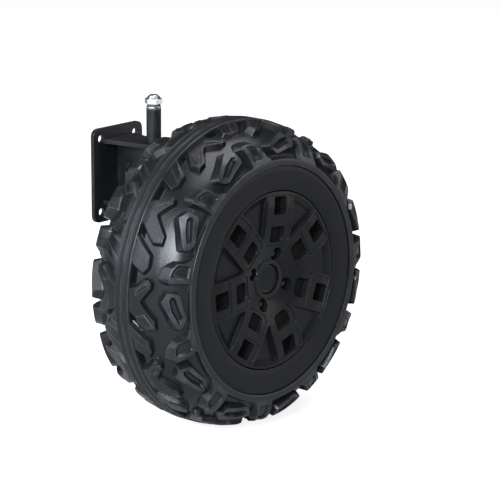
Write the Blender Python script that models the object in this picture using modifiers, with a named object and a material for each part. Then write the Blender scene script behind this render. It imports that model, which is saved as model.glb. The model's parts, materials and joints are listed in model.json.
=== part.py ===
# Front wheel of a child's ride-on car, on its stub axle and steering knuckle.
# The knuckle turns on a kingpin in a sleeve, which a bracket holds to the car's frame.
# Origin: middle of the bracket plate's back face. +X to the rear, -Y outboard, +Z up.
import math

import bmesh
import bpy
from mathutils import Matrix, Vector

MM = 0.001
FIT = 0.3 * MM  # gap between touching pieces

EDGE = 1 * MM  # chamfer on moulded and turned edges

# Spoked disc. Levels are measured outboard from the tyre's middle
DISC_RADIUS = 100.5 * MM
DISC_GAP = 0.9 * MM  # shadow gap round the disc
DISC_RIM_FACE = 65.6 * MM
DISC_RIM_WIDTH = 2.6 * MM
PANEL_FACE = 61.8 * MM  # floor of the panels between the spokes
PANEL_THICKNESS = 3.3 * MM
PANEL_SLOPE = 6 * MM  # run of the slope from the rim down to that floor
PANEL_STEPS = 7
SPOKES = 7
SPOKE_TURN = 82.6  # degrees from +X towards +Z to the first spoke
SPOKE_HALF_WIDTH = 21.8 * MM
SPOKE_DRAFT = 0.8 * MM  # how much wider a spoke is at its foot, on each side
SPOKE_RISE = 6.6 * MM  # highest place of the spokes' face, above the panels' floor
SPOKE_CROWN_MARGIN = 14 * MM  # from the rim in to that highest place
SPOKE_WAIST_RADIUS = 51 * MM  # inside this radius the face falls to the hub
SPOKE_WAIST_DROP = 1.8 * MM
HUB_DROP = 9.6 * MM  # from the highest place to the hub's edge
HUB_EDGE_RADIUS = 24 * MM
WINDOW_OUTER_MARGIN = 4 * MM  # from the rim to the outer window
WINDOW_LENGTH = 20 * MM
WINDOW_HALF_WIDTH = 9.9 * MM
WINDOW_DEPTH = 12.4 * MM
WINDOW_WALL = 2.4 * MM  # of the box behind an outer window
WINDOW_BRIDGE = 13.4 * MM  # between the outer and the inner window
INNER_WINDOW_LENGTH = 18.5 * MM
INNER_WINDOW_HALF_WIDTH = 11 * MM
INNER_WINDOW_DEPTH = 6.4 * MM
WINDOW_DRAFT = 0.6 * MM
WINDOW_CORNER = 2.6 * MM

# Screws and cap in the middle of the disc
SCREWS = 4
SCREW_TURN = 69.0
SCREW_CIRCLE_RADIUS = 29.6 * MM
SCREW_HOLE_RADIUS = 6.3 * MM
SCREW_HEAD_RADIUS = 5.2 * MM
SCREW_HEAD_HEIGHT = 4.5 * MM
SCREW_SINK = 9 * MM  # how far the head's seat lies behind the panels' floor
SCREW_FLOOR = 4 * MM
SCREW_SHANK_RADIUS = 2.4 * MM
SCREW_SHANK = 14 * MM  # below the head
CAP_RADIUS = 16.5 * MM
CAP_THICKNESS = 3 * MM
CAP_SUNK = 0.8 * MM  # below the collar round it
CAP_LIP = 1.2 * MM
CAP_SEAT = 1.5 * MM  # overlap of the cap on the edge of the disc's bore
COLLAR_RADIUS = 22 * MM
COLLAR_FACE = 58.2 * MM

# Rim ring, the smooth ring between the tyre and the spoked disc
RING_WIDTH = 27.6 * MM
RING_FACE_OUTER = 67.6 * MM  # at the ring's outer edge
RING_FACE_INNER = 65.6 * MM
RING_THICKNESS = 5 * MM
RING_CROWN = 0.6 * MM  # how much its face is rounded up
RING_RADIUS = DISC_RADIUS + DISC_GAP + RING_WIDTH

# Tyre: two moulded halves that meet at the middle of the centre rib
BEAD_WIDTH = 8.6 * MM  # raised ring at the foot of the sidewall
BEAD_FACE = 69 * MM
SECTION_HEIGHT = 40 * MM  # carcass over the rim ring
SECTION_HALF_WIDTH = 62 * MM
SECTION_FULLNESS = 2.1  # exponent of the section's superellipse, 2 is an ellipse
SIDE_SWELL = 3.2 * MM  # how much the sidewall stands out of that shape beside the bead
TREAD_DEPTH = 6 * MM  # centre rib over the carcass
RIB_HALF_WIDTH = 10.5 * MM
RIB_GROOVE_WIDTH = 5.5 * MM
RIB_GROOVE_DEPTH = 13 * MM
LUG_HEIGHT = 5.4 * MM
LUG_ROOT = 8 * MM  # how far a lug reaches into the carcass
LUG_DRAFT = 2.2 * MM  # how much further out a lug's foot lies than its top
PITCHES = 11  # repeats of the lug pattern round the tyre
SWELL_START = 40.0  # section angles over which the sidewall swells
SWELL_END = 80.0
SECTION_TURNS = (35.0, 53.0, 67.0)  # section angles of the carcass's corners
CARCASS_RADIUS = RING_RADIUS + SECTION_HEIGHT
TYRE_RADIUS = CARCASS_RADIUS + TREAD_DEPTH
BEAD_RADIUS = RING_RADIUS + BEAD_WIDTH

# Drum, the hollow middle of the wheel
DRUM_RADIUS = DISC_RADIUS + 1.5 * MM
DRUM_WALL = 3.5 * MM
DRUM_BACK = 58 * MM  # inboard face of the back web, from the tyre's middle
DRUM_STEP_RADIUS = 66 * MM
DRUM_STEP = 8 * MM  # how far the middle of the web is set in
HUB_RADIUS = 19 * MM
HUB_OUTER_END = 26 * MM
HUB_CUP_RADIUS = 38 * MM  # cup round the axle's nut, which the disc is screwed to
HUB_CUP_BORE = 24 * MM
HUB_CUP_FLOOR = 5 * MM
DRAIN_HOLES = 8
DRAIN_HOLE_RADIUS = 4 * MM
DRAIN_CIRCLE_RADIUS = 84 * MM
BUSH_RADIUS = 9.5 * MM
BUSH_FLANGE_RADIUS = 15 * MM
BUSH_FLANGE = 2 * MM
BUSH_LENGTH = 20 * MM

# Stub axle and what holds the wheel on it
AXLE_RADIUS = 6 * MM
AXLE_SHOULDER_RADIUS = 9 * MM
AXLE_SHOULDER = 8 * MM
AXLE_END = 5 * MM  # thread past the nut
AXLE_SOCKET_DEPTH = 14 * MM
AXLE_SPACER_RADIUS = 11 * MM
WASHER = 2 * MM
WASHER_RADIUS = 14 * MM
NUT_HEIGHT = 10 * MM
NUT_RADIUS = 10.4 * MM  # over the corners

# Kingpin and knuckle
KINGPIN_INBOARD = 116 * MM  # kingpin axis, from the tyre's middle
KINGPIN_RADIUS = 6 * MM
KINGPIN_NUT_HEIGHT = 7.7 * MM
KINGPIN_HEAD_HEIGHT = 8 * MM
KINGPIN_END = 2 * MM  # thread past the nut
KNUCKLE_RADIUS = 15 * MM
KNUCKLE_HEIGHT = 26 * MM  # above and below the axle
SPIGOT_RADIUS = 13 * MM
SPIGOT_REACH = 30 * MM  # outboard of the kingpin axis
SLEEVE_RADIUS = 8.6 * MM
SLEEVE_BOTTOM = 32 * MM  # above the axle
SLEEVE_TOP = 169 * MM
SLEEVE_BUSH_FLANGE = 1.5 * MM
LOWER_BUSH_RADIUS = 10.6 * MM
THRUST_WASHER_RADIUS = 12.6 * MM
KINGPIN_WASHER = 2.2 * MM
KINGPIN_WASHER_RADIUS = 8.4 * MM
KINGPIN_SPACER = 2.4 * MM
KINGPIN_SPACER_RADIUS = 7.8 * MM
ARM_THICKNESS = 6 * MM
ARM_LENGTH = 66 * MM  # kingpin axis to the tie rod's hole
ARM_TURN = 14.0  # degrees inboard of straight back
ARM_ROOT_HALF_WIDTH = 13 * MM
ARM_TIP_RADIUS = 10 * MM
ARM_HOLE_RADIUS = 4.2 * MM
ARM_LEVEL = -14 * MM  # middle of the arm, from the axle

# Bracket that carries the sleeve
PLATE_STANDOFF = 62 * MM  # kingpin axis to the plate's back face
PLATE_WIDTH = 80 * MM
PLATE_HEIGHT = 110 * MM
PLATE_THICKNESS = 5 * MM
PLATE_CORNER = 8 * MM
PLATE_LEVEL = 88 * MM  # middle of the plate, above the axle
PLATE_HOLE_RADIUS = 4.5 * MM
PLATE_HOLE_ACROSS = 56 * MM
PLATE_HOLE_UP = 86 * MM
BRACKET_THICKNESS = 5 * MM
BRACKET_UPPER_LEVEL = 128 * MM
BRACKET_LOWER_LEVEL = 56 * MM
BRACKET_HALF_WIDTH = 26 * MM  # at the plate
BRACKET_EYE_RADIUS = 15 * MM
WEB_LIGHTENING_RADIUS = 11 * MM

STEPS_TYRE = PITCHES * 3
STEPS_DRUM = 40
STEPS_SMALL = 20
SCREW_STEPS = 12

# Tops of the lugs: degrees round the tyre, and steps along the section from the middle of the rib
LUG_STEP = 1 * MM
FORK_LUG = [(-3.9, 8.5), (-8.4, 34.0), (-5.8, 39.6), (0.2, 25.6), (8.2, 43.6), (10.8, 38.5), (3.4, 8.5)]
BAR_LUG = [(9.0, 8.5), (15.3, 32.9), (20.3, 32.6), (21.9, 26.5), (18.7, 8.5)]
TONGUE_LUG = [(-0.8, 50.6), (-4.3, 57.0), (-4.1, 70.2), (7.2, 77.2), (10.8, 67.0)]
FANG_LUG = [(-8.9, 55.8), (-14.8, 59.8), (-17.2, 70.0), (-21.6, 84.5), (-9.0, 86.5)]
LUG_OUTLINES = [FORK_LUG, BAR_LUG, TONGUE_LUG, FANG_LUG]
LUG_TURN = 146.6  # degrees from +X to the notch of one fork lug
LUG_CUTS = [64.5]  # steps along the section, where a lug bends

WHEEL_AXIS = Vector((0, -PLATE_STANDOFF - KINGPIN_INBOARD, -PLATE_LEVEL))
KINGPIN_FOOT = Vector((0, -PLATE_STANDOFF, -PLATE_LEVEL))


def clear_scene():
    for obj in list(bpy.data.objects):
        bpy.data.objects.remove(obj, do_unlink=True)


def make_collection(name):
    collection = bpy.data.collections.new(name)
    bpy.context.scene.collection.children.link(collection)
    return collection


def make_material(name, color, roughness, metallic):
    material = bpy.data.materials.new(name)
    material.use_nodes = True
    shader = material.node_tree.nodes["Principled BSDF"]
    shader.inputs["Base Color"].default_value = (*color, 1)
    shader.inputs["Roughness"].default_value = roughness
    shader.inputs["Metallic"].default_value = metallic
    return material


def make_axis(name, place, turn=(0, 0, 0)):
    axis = bpy.data.objects.new(name, None)
    parts.objects.link(axis)
    axis.location = place
    axis.rotation_euler = turn
    return axis


def place_object(name, mesh, material, parent):
    obj = bpy.data.objects.new(name, mesh)
    if material is None:
        cutters.objects.link(obj)
        obj.hide_render = True
        obj.display_type = "WIRE"
    else:
        parts.objects.link(obj)
        mesh.materials.append(material)
    obj.parent = parent
    return obj


def turned(name, profile, material, parent, steps=STEPS_SMALL, shaded=True):
    """A profile of (radius, height) points turned about the parent's Z axis."""
    area = sum(a[0] * b[1] - b[0] * a[1] for a, b in zip(profile, profile[1:] + profile[:1]))
    points = profile[::-1] if area > 0 else profile
    on_axis = [i for i, point in enumerate(points) if point[0] == 0]
    if on_axis:
        # An outline that touches the axis is left open there
        start = next(i for i in on_axis if points[(i + 1) % len(points)][0] > 0)
        points = points[start:] + points[:start]
    mesh = bpy.data.meshes.new(name)
    edges = [(i, i + 1) for i in range(len(points) - 1)]
    if not on_axis:
        edges.append((len(points) - 1, 0))
    mesh.from_pydata([(r, 0, z) for r, z in points], edges, [])
    obj = place_object(name, mesh, material, parent)
    screw = obj.modifiers.new("turn", "SCREW")
    screw.steps = screw.render_steps = steps
    screw.use_merge_vertices = True
    screw.merge_threshold = 0.00001
    screw.use_smooth_shade = shaded
    return obj


def disc_profile(radius, low, high, chamfer=0.0):
    return [(0, high), (radius - chamfer, high), (radius, high - chamfer), (radius, low + chamfer),
            (radius - chamfer, low), (0, low)] if chamfer else [(0, high), (radius, high), (radius, low), (0, low)]


def ring_profile(inner, outer, low, high):
    return [(inner, high), (outer, high), (outer, low), (inner, low)]


def round_outside(radius, steps):
    """Corner radius of a bore with this many flats that a round of this radius fits inside."""
    return radius / math.cos(math.pi / steps)


def flat_solid(name, outlines, low, high, material, parent, matrix=None):
    """Flat outlines in the parent's XY plane, given thickness along Z. Inner outlines become holes."""
    curve = bpy.data.curves.new(name, "CURVE")
    curve.dimensions = "2D"
    curve.fill_mode = "BOTH"
    curve.extrude = (high - low) / 2
    for outline in outlines:
        spline = curve.splines.new("POLY")
        spline.points.add(len(outline) - 1)
        for point, (x, y) in zip(spline.points, outline):
            point.co = (x, y, 0, 1)
        spline.use_cyclic_u = True
    guide = bpy.data.objects.new(name + "_guide", curve)
    mesh = bpy.data.meshes.new_from_object(guide)
    bpy.data.objects.remove(guide, do_unlink=True)
    shape = bmesh.new()
    shape.from_mesh(mesh)
    bmesh.ops.remove_doubles(shape, verts=shape.verts, dist=0.00001)
    bmesh.ops.recalc_face_normals(shape, faces=shape.faces)
    shape.to_mesh(mesh)
    shape.free()
    mesh.materials.clear()
    mesh.transform(Matrix.Translation((0, 0, (low + high) / 2)))
    if matrix is not None:
        mesh.transform(matrix)
    return place_object(name, mesh, material, parent)


def arc(center, radius, start, end, count):
    """Points along an arc, with angles in degrees."""
    angles = [math.radians(start + (end - start) * i / (count - 1)) for i in range(count)]
    return [(center[0] + radius * math.cos(a), center[1] + radius * math.sin(a)) for a in angles]


def circle(center, radius, count=STEPS_SMALL):
    return arc(center, radius, 0, 360 * (count - 1) / count, count)


def rounded_box(half_x, half_y, corner, count=4):
    points = []
    for turn, sx, sy in ((0, 1, 1), (90, -1, 1), (180, -1, -1), (270, 1, -1)):
        points += arc((sx * (half_x - corner), sy * (half_y - corner)), corner, turn, turn + 90, count)
    return points


def turn_points(points, degrees):
    c, s = math.cos(math.radians(degrees)), math.sin(math.radians(degrees))
    return [(c * x - s * y, s * x + c * y) for x, y in points]


def spread(points, distance):
    """A closed outline moved outwards by a distance, each corner along its mitre."""
    area = sum(a[0] * b[1] - b[0] * a[1] for a, b in zip(points, points[1:] + points[:1]))
    side = math.copysign(distance, area)
    moved = []
    for before, here, after in zip(points[-1:] + points[:-1], points, points[1:] + points[:1]):
        u = Vector((here[0] - before[0], here[1] - before[1])).normalized()
        v = Vector((after[0] - here[0], after[1] - here[1])).normalized()
        reach = side / max(1 + u.dot(v), 0.3)
        moved.append((here[0] + (u.y + v.y) * reach, here[1] - (u.x + v.x) * reach))
    return moved


def add_draft(shape, bottom, top, low, high):
    """Adds a body that runs from a low outline to a high one with as many corners."""
    rings = [[shape.verts.new((x, y, level)) for x, y in ring] for ring, level in ((bottom, low), (top, high))]
    for ring in rings:
        shape.faces.new(ring)
    for i in range(len(bottom)):
        shape.faces.new((rings[0][i - 1], rings[0][i], rings[1][i], rings[1][i - 1]))


def drafted_solid(name, pairs, low, high, material, parent):
    """One such body for each pair of outlines, all as one mesh."""
    shape = bmesh.new()
    for bottom, top in pairs:
        add_draft(shape, bottom, top, low, high)
    bmesh.ops.recalc_face_normals(shape, faces=shape.faces)
    mesh = bpy.data.meshes.new(name)
    shape.to_mesh(mesh)
    shape.free()
    return place_object(name, mesh, material, parent)


def combine(obj, other, operation, solver="EXACT"):
    step = obj.modifiers.new(operation.lower() + "_" + other.name, "BOOLEAN")
    step.operation = operation
    step.object = other
    step.solver = solver
    return step


def section_point(angle, lift):
    """Point (radius, height) of the tyre's section, a superellipse; angle 0 is the crown, 90 the side."""
    power = 2 / SECTION_FULLNESS
    a = math.radians(angle)
    return (RING_RADIUS + (SECTION_HEIGHT + lift) * max(math.cos(a), 0.0) ** power,
            (SECTION_HALF_WIDTH + lift) * math.sin(a) ** power)


def carcass_point(angle):
    """The carcass stands out of that shape towards the bead, by a smooth step."""
    share = min(max((angle - SWELL_START) / (SWELL_END - SWELL_START), 0), 1)
    return section_point(angle, SIDE_SWELL * share * share * (3 - 2 * share))


def section_angles(lift, count=361):
    """Section angle against length along the section, both from the crown."""
    table = [(0.0, 0.0)]
    last = section_point(0, lift)
    for i in range(1, count):
        angle = 90 * i / (count - 1)
        here = section_point(angle, lift)
        table.append((table[-1][0] + math.dist(last, here), angle))
        last = here
    return table


def angle_at(table, length):
    for (s0, a0), (s1, a1) in zip(table, table[1:]):
        if length <= s1:
            return a0 + (a1 - a0) * (length - s0) / (s1 - s0)
    return table[-1][1]


def wrap_lug(shape, outline, turn, table):
    """A lug's top outline, spread to a root inside the carcass, cut where it bends, wrapped round the tyre."""
    arc_length = math.radians(1) * (CARCASS_RADIUS - SECTION_HEIGHT / 4)  # of one degree, at the shoulder
    top = [(a * arc_length, s * LUG_STEP) for a, s in outline]
    root = spread(top, LUG_DRAFT * (LUG_HEIGHT + LUG_ROOT) / LUG_HEIGHT)
    root = [(x, max(y, LUG_STEP * outline[0][1])) if s == outline[0][1] else (x, y)
            for (x, y), (_, s) in zip(root, outline)]
    flat = bmesh.new()
    add_draft(flat, root, top, 0, 1)
    for cut in LUG_CUTS:
        geometry = flat.verts[:] + flat.edges[:] + flat.faces[:]
        place = (0, cut * LUG_STEP, 0)
        bmesh.ops.bisect_plane(flat, geom=geometry, plane_co=place, plane_no=(0, 1, 0), dist=0.00005)
    for v in flat.verts:
        lift = v.co.z * (LUG_HEIGHT + LUG_ROOT) - LUG_ROOT
        r, h = section_point(angle_at(table, v.co.y), lift)
        around = math.radians(v.co.x / arc_length + turn)
        v.co = (r * math.cos(around), r * math.sin(around), h)
    copy = bpy.data.meshes.new("lug")
    bmesh.ops.recalc_face_normals(flat, faces=flat.faces)
    flat.to_mesh(copy)
    flat.free()
    shape.from_mesh(copy)
    bpy.data.meshes.remove(copy)


def lug_ring(name, parent, start):
    table = section_angles(LUG_HEIGHT)
    shape = bmesh.new()
    for i in range(PITCHES):
        for outline in LUG_OUTLINES:
            wrap_lug(shape, outline, start + 360 * i / PITCHES, table)
    mesh = bpy.data.meshes.new(name)
    shape.to_mesh(mesh)
    shape.free()
    return place_object(name, mesh, None, parent)


def tyre_section():
    """The tyre half's outline as (radius, height), from the parting face out to the ring's seat."""
    groove_end = RIB_HALF_WIDTH + RIB_GROOVE_WIDTH
    groove_floor = TYRE_RADIUS - RIB_GROOVE_DEPTH
    shoulder = math.asin((groove_end / SECTION_HALF_WIDTH) ** (SECTION_FULLNESS / 2))
    bore = round_outside(DRUM_RADIUS + FIT, STEPS_TYRE)
    ring_edge = round_outside(RING_RADIUS + FIT, STEPS_TYRE)
    seat = RING_FACE_OUTER - RING_THICKNESS - FIT
    points = [(bore, FIT / 2), (TYRE_RADIUS, FIT / 2), (TYRE_RADIUS, RIB_HALF_WIDTH),
              (groove_floor, RIB_HALF_WIDTH + EDGE), (groove_floor, groove_end - EDGE)]
    points += [carcass_point(angle) for angle in (math.degrees(shoulder), *SECTION_TURNS)]
    bead_foot = (BEAD_RADIUS, carcass_point(SWELL_END)[1])
    points += [bead_foot, (BEAD_RADIUS - EDGE, BEAD_FACE), (ring_edge, BEAD_FACE), (ring_edge, seat), (bore, seat)]
    return points


def make_tyre(side, parent, start):
    half = turned("tyre_" + side + "_half", tyre_section(), tyre_plastic, parent, STEPS_TYRE)
    combine(half, lug_ring("lugs_" + side, parent, start), "UNION")


def make_rim_ring(name, parent):
    inner = DISC_RADIUS + DISC_GAP
    back = RING_FACE_OUTER - RING_THICKNESS
    middle = (RING_RADIUS + inner) / 2
    profile = [(inner, back), (inner, RING_FACE_INNER - EDGE), (inner + EDGE, RING_FACE_INNER),
               (middle, (RING_FACE_INNER + RING_FACE_OUTER) / 2 + RING_CROWN),
               (RING_RADIUS - EDGE, RING_FACE_OUTER), (RING_RADIUS, RING_FACE_OUTER - EDGE),
               (RING_RADIUS, back)]
    turned(name, profile, wheel_plastic, parent, STEPS_DRUM)


def screw_seat():
    """Height on which the heads of the disc's screws rest."""
    return PANEL_FACE - SCREW_SINK


def hub_cup_face():
    """Height of the cup's rim, on which the back of the disc rests."""
    return screw_seat() - SCREW_FLOOR - FIT


def screw_centers():
    return [turn_points([(SCREW_CIRCLE_RADIUS, 0)], SCREW_TURN + 360 * i / SCREWS)[0] for i in range(SCREWS)]


def make_drum(parent):
    """Barrel, stepped back web and hub tube in one moulding, open to the outside."""
    front = PANEL_FACE - PANEL_THICKNESS - FIT
    web_front = -DRUM_BACK + DRUM_WALL
    step_back = -DRUM_BACK + DRUM_STEP
    bore = BUSH_RADIUS + FIT
    cup_top = hub_cup_face()
    cup_low = HUB_OUTER_END - HUB_CUP_FLOOR
    profile = [(DRUM_RADIUS, front), (DRUM_RADIUS, -DRUM_BACK), (DRUM_STEP_RADIUS + DRUM_STEP / 2, -DRUM_BACK),
               (DRUM_STEP_RADIUS, step_back), (HUB_RADIUS, step_back), (HUB_RADIUS, -DRUM_BACK),
               (bore, -DRUM_BACK), (bore, HUB_OUTER_END), (HUB_CUP_BORE, HUB_OUTER_END),
               (HUB_CUP_BORE, cup_top), (HUB_CUP_RADIUS, cup_top), (HUB_CUP_RADIUS, cup_low), (HUB_RADIUS, cup_low),
               (HUB_RADIUS, step_back + DRUM_WALL), (DRUM_STEP_RADIUS, step_back + DRUM_WALL),
               (DRUM_STEP_RADIUS + DRUM_STEP / 2, web_front), (DRUM_RADIUS - DRUM_WALL, web_front),
               (DRUM_RADIUS - DRUM_WALL, front)]
    drum = turned("wheel_drum", profile, wheel_plastic, parent, STEPS_DRUM)
    places = [turn_points([(DRAIN_CIRCLE_RADIUS, 0)], 360 * i / DRAIN_HOLES)[0] for i in range(DRAIN_HOLES)]
    holes = [circle(place, DRAIN_HOLE_RADIUS, 12) for place in places]
    cutter = flat_solid("drum_drain_holes", holes, -DRUM_BACK - DRUM_WALL, web_front + DRUM_WALL, None, parent)
    combine(drum, cutter, "DIFFERENCE")
    shank = round_outside(SCREW_SHANK_RADIUS + FIT, 10)
    pilots = flat_solid("drum_screw_holes", [circle(center, shank, 10) for center in screw_centers()],
                        screw_seat() - SCREW_SHANK - EDGE, cup_top + SCREW_FLOOR, None, parent)
    combine(drum, pilots, "DIFFERENCE", "MANIFOLD")


def disc_face(rim):
    """The spokes' face as (radius, height): it rises from the hub, is highest near the rim and falls to it."""
    crown = PANEL_FACE + SPOKE_RISE
    return [(HUB_EDGE_RADIUS, crown - HUB_DROP), (SPOKE_WAIST_RADIUS, crown - SPOKE_WAIST_DROP),
            (rim - SPOKE_CROWN_MARGIN, crown), (rim, DISC_RIM_FACE + EDGE / 2)]


def make_disc(parent):
    """Dished disc with seven spokes, panels set in between, pockets in the spokes, and a boss for the screws."""
    edge = DISC_RADIUS
    rim = DISC_RADIUS - DISC_RIM_WIDTH
    back = PANEL_FACE - PANEL_THICKNESS
    boss_back = hub_cup_face() + FIT
    cap_seat = COLLAR_FACE - CAP_SUNK - CAP_THICKNESS
    cap_edge = round_outside(CAP_RADIUS + 2 * FIT, STEPS_DRUM)
    profile = [(0, cap_seat), (cap_edge, cap_seat), (cap_edge, COLLAR_FACE), (COLLAR_RADIUS, COLLAR_FACE)]
    profile += disc_face(rim) + [(edge, DISC_RIM_FACE), (edge, back), (HUB_CUP_RADIUS + EDGE, back),
                                 (HUB_CUP_RADIUS + EDGE, boss_back), (0, boss_back)]
    disc = turned("spoke_disc", profile, wheel_plastic, parent, STEPS_DRUM)
    top = PANEL_FACE + 2 * SPOKE_RISE
    outer, inner = window_outlines(rim)
    boxes = [spread(outline, WINDOW_WALL) for outline in outer]
    floor = PANEL_FACE + SPOKE_RISE - WINDOW_DEPTH
    combine(disc, flat_solid("disc_window_boxes", boxes, floor - WINDOW_WALL, back + EDGE, None, parent), "UNION")
    combine(disc, panel_cutter(rim, top, parent), "DIFFERENCE")
    combine(disc, window_cutter("disc_outer_windows", outer, floor, top, parent), "DIFFERENCE")
    floor = PANEL_FACE + SPOKE_RISE - SPOKE_WAIST_DROP - INNER_WINDOW_DEPTH
    combine(disc, window_cutter("disc_inner_windows", inner, floor, top, parent), "DIFFERENCE")
    shank = round_outside(SCREW_SHANK_RADIUS + FIT, 10)
    through = [circle((0, 0), CAP_RADIUS - CAP_SEAT, 32)] + [circle(center, shank, 10) for center in screw_centers()]
    combine(disc, flat_solid("disc_bores", through, boss_back - SCREW_FLOOR, top, None, parent), "DIFFERENCE")
    sinks = [circle(center, SCREW_HOLE_RADIUS, 16) for center in screw_centers()]
    combine(disc, flat_solid("disc_screw_sinks", sinks, screw_seat(), top, None, parent), "DIFFERENCE")


def window_outlines(rim):
    """Outlines of the outer and of the inner windows at their floors, one of each in every spoke."""
    outer_end = rim - WINDOW_OUTER_MARGIN
    inner_end = outer_end - WINDOW_LENGTH - WINDOW_BRIDGE
    found = []
    for end, length, half_width in ((outer_end, WINDOW_LENGTH, WINDOW_HALF_WIDTH),
                                    (inner_end, INNER_WINDOW_LENGTH, INNER_WINDOW_HALF_WIDTH)):
        outline = [(x + end - length / 2, y) for x, y in rounded_box(length / 2, half_width, WINDOW_CORNER, 3)]
        outline = spread(outline, -WINDOW_DRAFT)
        found.append([turn_points(outline, SPOKE_TURN + 360 * i / SPOKES) for i in range(SPOKES)])
    return found


def window_cutter(name, outlines, floor, top, parent):
    """Pockets that widen by the draft from their floor up to the spokes' face, and on as far as top."""
    widening = WINDOW_DRAFT * (top - floor) / (PANEL_FACE + SPOKE_RISE - floor)
    pairs = [(outline, spread(outline, widening)) for outline in outlines]
    return drafted_solid(name, pairs, floor, top, None, parent)


def panel_cutter(rim, top, parent):
    """Three-cornered pockets between the spokes, with steep sides and a slope up to the rim."""
    share = (top - PANEL_FACE) / SPOKE_RISE
    slope = PANEL_SLOPE * (top - PANEL_FACE) / (DISC_RIM_FACE - PANEL_FACE)
    bottom = panel_outline(SPOKE_HALF_WIDTH + SPOKE_DRAFT, rim - PANEL_SLOPE)
    opening = panel_outline(SPOKE_HALF_WIDTH + SPOKE_DRAFT * (1 - share), rim - PANEL_SLOPE + slope)
    pairs = []
    for i in range(SPOKES):
        turn = SPOKE_TURN + 360 * i / SPOKES
        pairs.append((turn_points(bottom, turn), turn_points(opening, turn)))
    return drafted_solid("disc_panels", pairs, PANEL_FACE, top, None, parent)


def panel_outline(half_width, outer_radius):
    """Outline between the spoke on +X and the next one, with its outer side an arc."""
    half = 180 / SPOKES
    apex = turn_points([(half_width / math.sin(math.radians(half)), 0)], half)[0]
    reach = math.degrees(math.asin(half_width / outer_radius))
    return [apex] + arc((0, 0), outer_radius, reach, 2 * half - reach, PANEL_STEPS)


def make_cap(parent):
    top = COLLAR_FACE - CAP_SUNK
    profile = [(0, top), (CAP_RADIUS - CAP_LIP, top), (CAP_RADIUS, top - CAP_LIP),
               (CAP_RADIUS, top - CAP_THICKNESS + FIT), (0, top - CAP_THICKNESS + FIT)]
    turned("centre_cap", profile, wheel_plastic, parent, 32)


def make_screw(name, index, parent):
    center = screw_centers()[index]
    seat = screw_seat() + FIT
    r, h = SCREW_HEAD_RADIUS, SCREW_HEAD_HEIGHT
    profile = [(0, seat + h), (r * 0.5, seat + h * 0.9), (r * 0.85, seat + h * 0.6), (r, seat + h * 0.2),
               (r, seat), (SCREW_SHANK_RADIUS, seat), (SCREW_SHANK_RADIUS, seat - SCREW_SHANK),
               (0, seat - SCREW_SHANK)]
    axis = make_axis(name + "_axis", (center[0], center[1], 0))
    axis.parent = parent
    turned(name, profile, bright_steel, axis, SCREW_STEPS)


def build_wheel():
    outer = make_axis("wheel_axis", WHEEL_AXIS, (math.radians(90), 0, 0))
    inner = make_axis("wheel_axis_inner", WHEEL_AXIS, (math.radians(-90), 0, 0))
    make_tyre("outer", outer, LUG_TURN)
    make_tyre("inner", inner, -LUG_TURN)
    make_rim_ring("rim_ring", outer)
    make_drum(outer)
    make_disc(outer)
    make_cap(outer)
    for i in range(SCREWS):
        make_screw("disc_screw_%d" % (i + 1), i, outer)
    make_bush("hub_bush_outer", outer, HUB_OUTER_END)
    make_bush("hub_bush_inner", inner, DRUM_BACK)
    return outer


def make_bush(name, parent, face):
    """Flanged bush pressed into the hub tube's end; face is that end's height."""
    bore = round_outside(AXLE_RADIUS + FIT, STEPS_SMALL)
    profile = [(bore, face + FIT + BUSH_FLANGE), (BUSH_FLANGE_RADIUS, face + FIT + BUSH_FLANGE),
               (BUSH_FLANGE_RADIUS, face + FIT), (BUSH_RADIUS, face + FIT),
               (BUSH_RADIUS, face - BUSH_LENGTH), (bore, face - BUSH_LENGTH)]
    turned(name, profile, nylon, parent)


def build_axle(outer):
    """Stub axle with a shoulder, its washers and its nut, along the wheel's axis."""
    root = -KINGPIN_INBOARD + SPIGOT_REACH
    shoulder = root + FIT + AXLE_SHOULDER
    inner_face = -(DRUM_BACK + FIT + BUSH_FLANGE)
    outer_face = HUB_OUTER_END + FIT + BUSH_FLANGE
    washer_end = outer_face + FIT + WASHER
    nut_end = washer_end + FIT + NUT_HEIGHT
    tip = nut_end + AXLE_END
    r, chamfer = AXLE_RADIUS, EDGE
    profile = [(0, tip), (r - chamfer, tip), (r, tip - chamfer), (r, shoulder), (AXLE_SHOULDER_RADIUS, shoulder),
               (AXLE_SHOULDER_RADIUS, root + FIT), (r, root + FIT), (r, root - AXLE_SOCKET_DEPTH + FIT),
               (0, root - AXLE_SOCKET_DEPTH + FIT)]
    turned("stub_axle", profile, bright_steel, outer)
    bore = round_outside(AXLE_RADIUS + FIT, STEPS_SMALL)
    spacer = ring_profile(bore, AXLE_SPACER_RADIUS, shoulder + FIT, inner_face - FIT)
    turned("axle_spacer", spacer, bright_steel, outer)
    washer = ring_profile(bore, WASHER_RADIUS, outer_face + FIT, washer_end)
    turned("axle_washer", washer, bright_steel, outer)
    make_nut("axle_nut", washer_end + FIT, NUT_HEIGHT, bore, outer)


def make_nut(name, low, height, bore, parent):
    """Hexagon nut with a domed locking collar on top."""
    hexagon = circle((0, 0), NUT_RADIUS, 6)
    collar_height = height * 0.3
    nut = flat_solid(name, [hexagon], low, low + height - collar_height, bright_steel, parent)
    shoulder = NUT_RADIUS * math.cos(math.pi / 6) - EDGE / 2
    top = low + height
    crown = turned(name + "_crown", [(0, top), (shoulder - 1.5 * EDGE, top), (shoulder, top - collar_height),
                                     (shoulder, low + EDGE), (0, low + EDGE)], None, parent)
    combine(nut, crown, "UNION")
    hole = turned(name + "_bore", disc_profile(bore, low - height, top + height), None, parent)
    combine(nut, hole, "DIFFERENCE")


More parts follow.
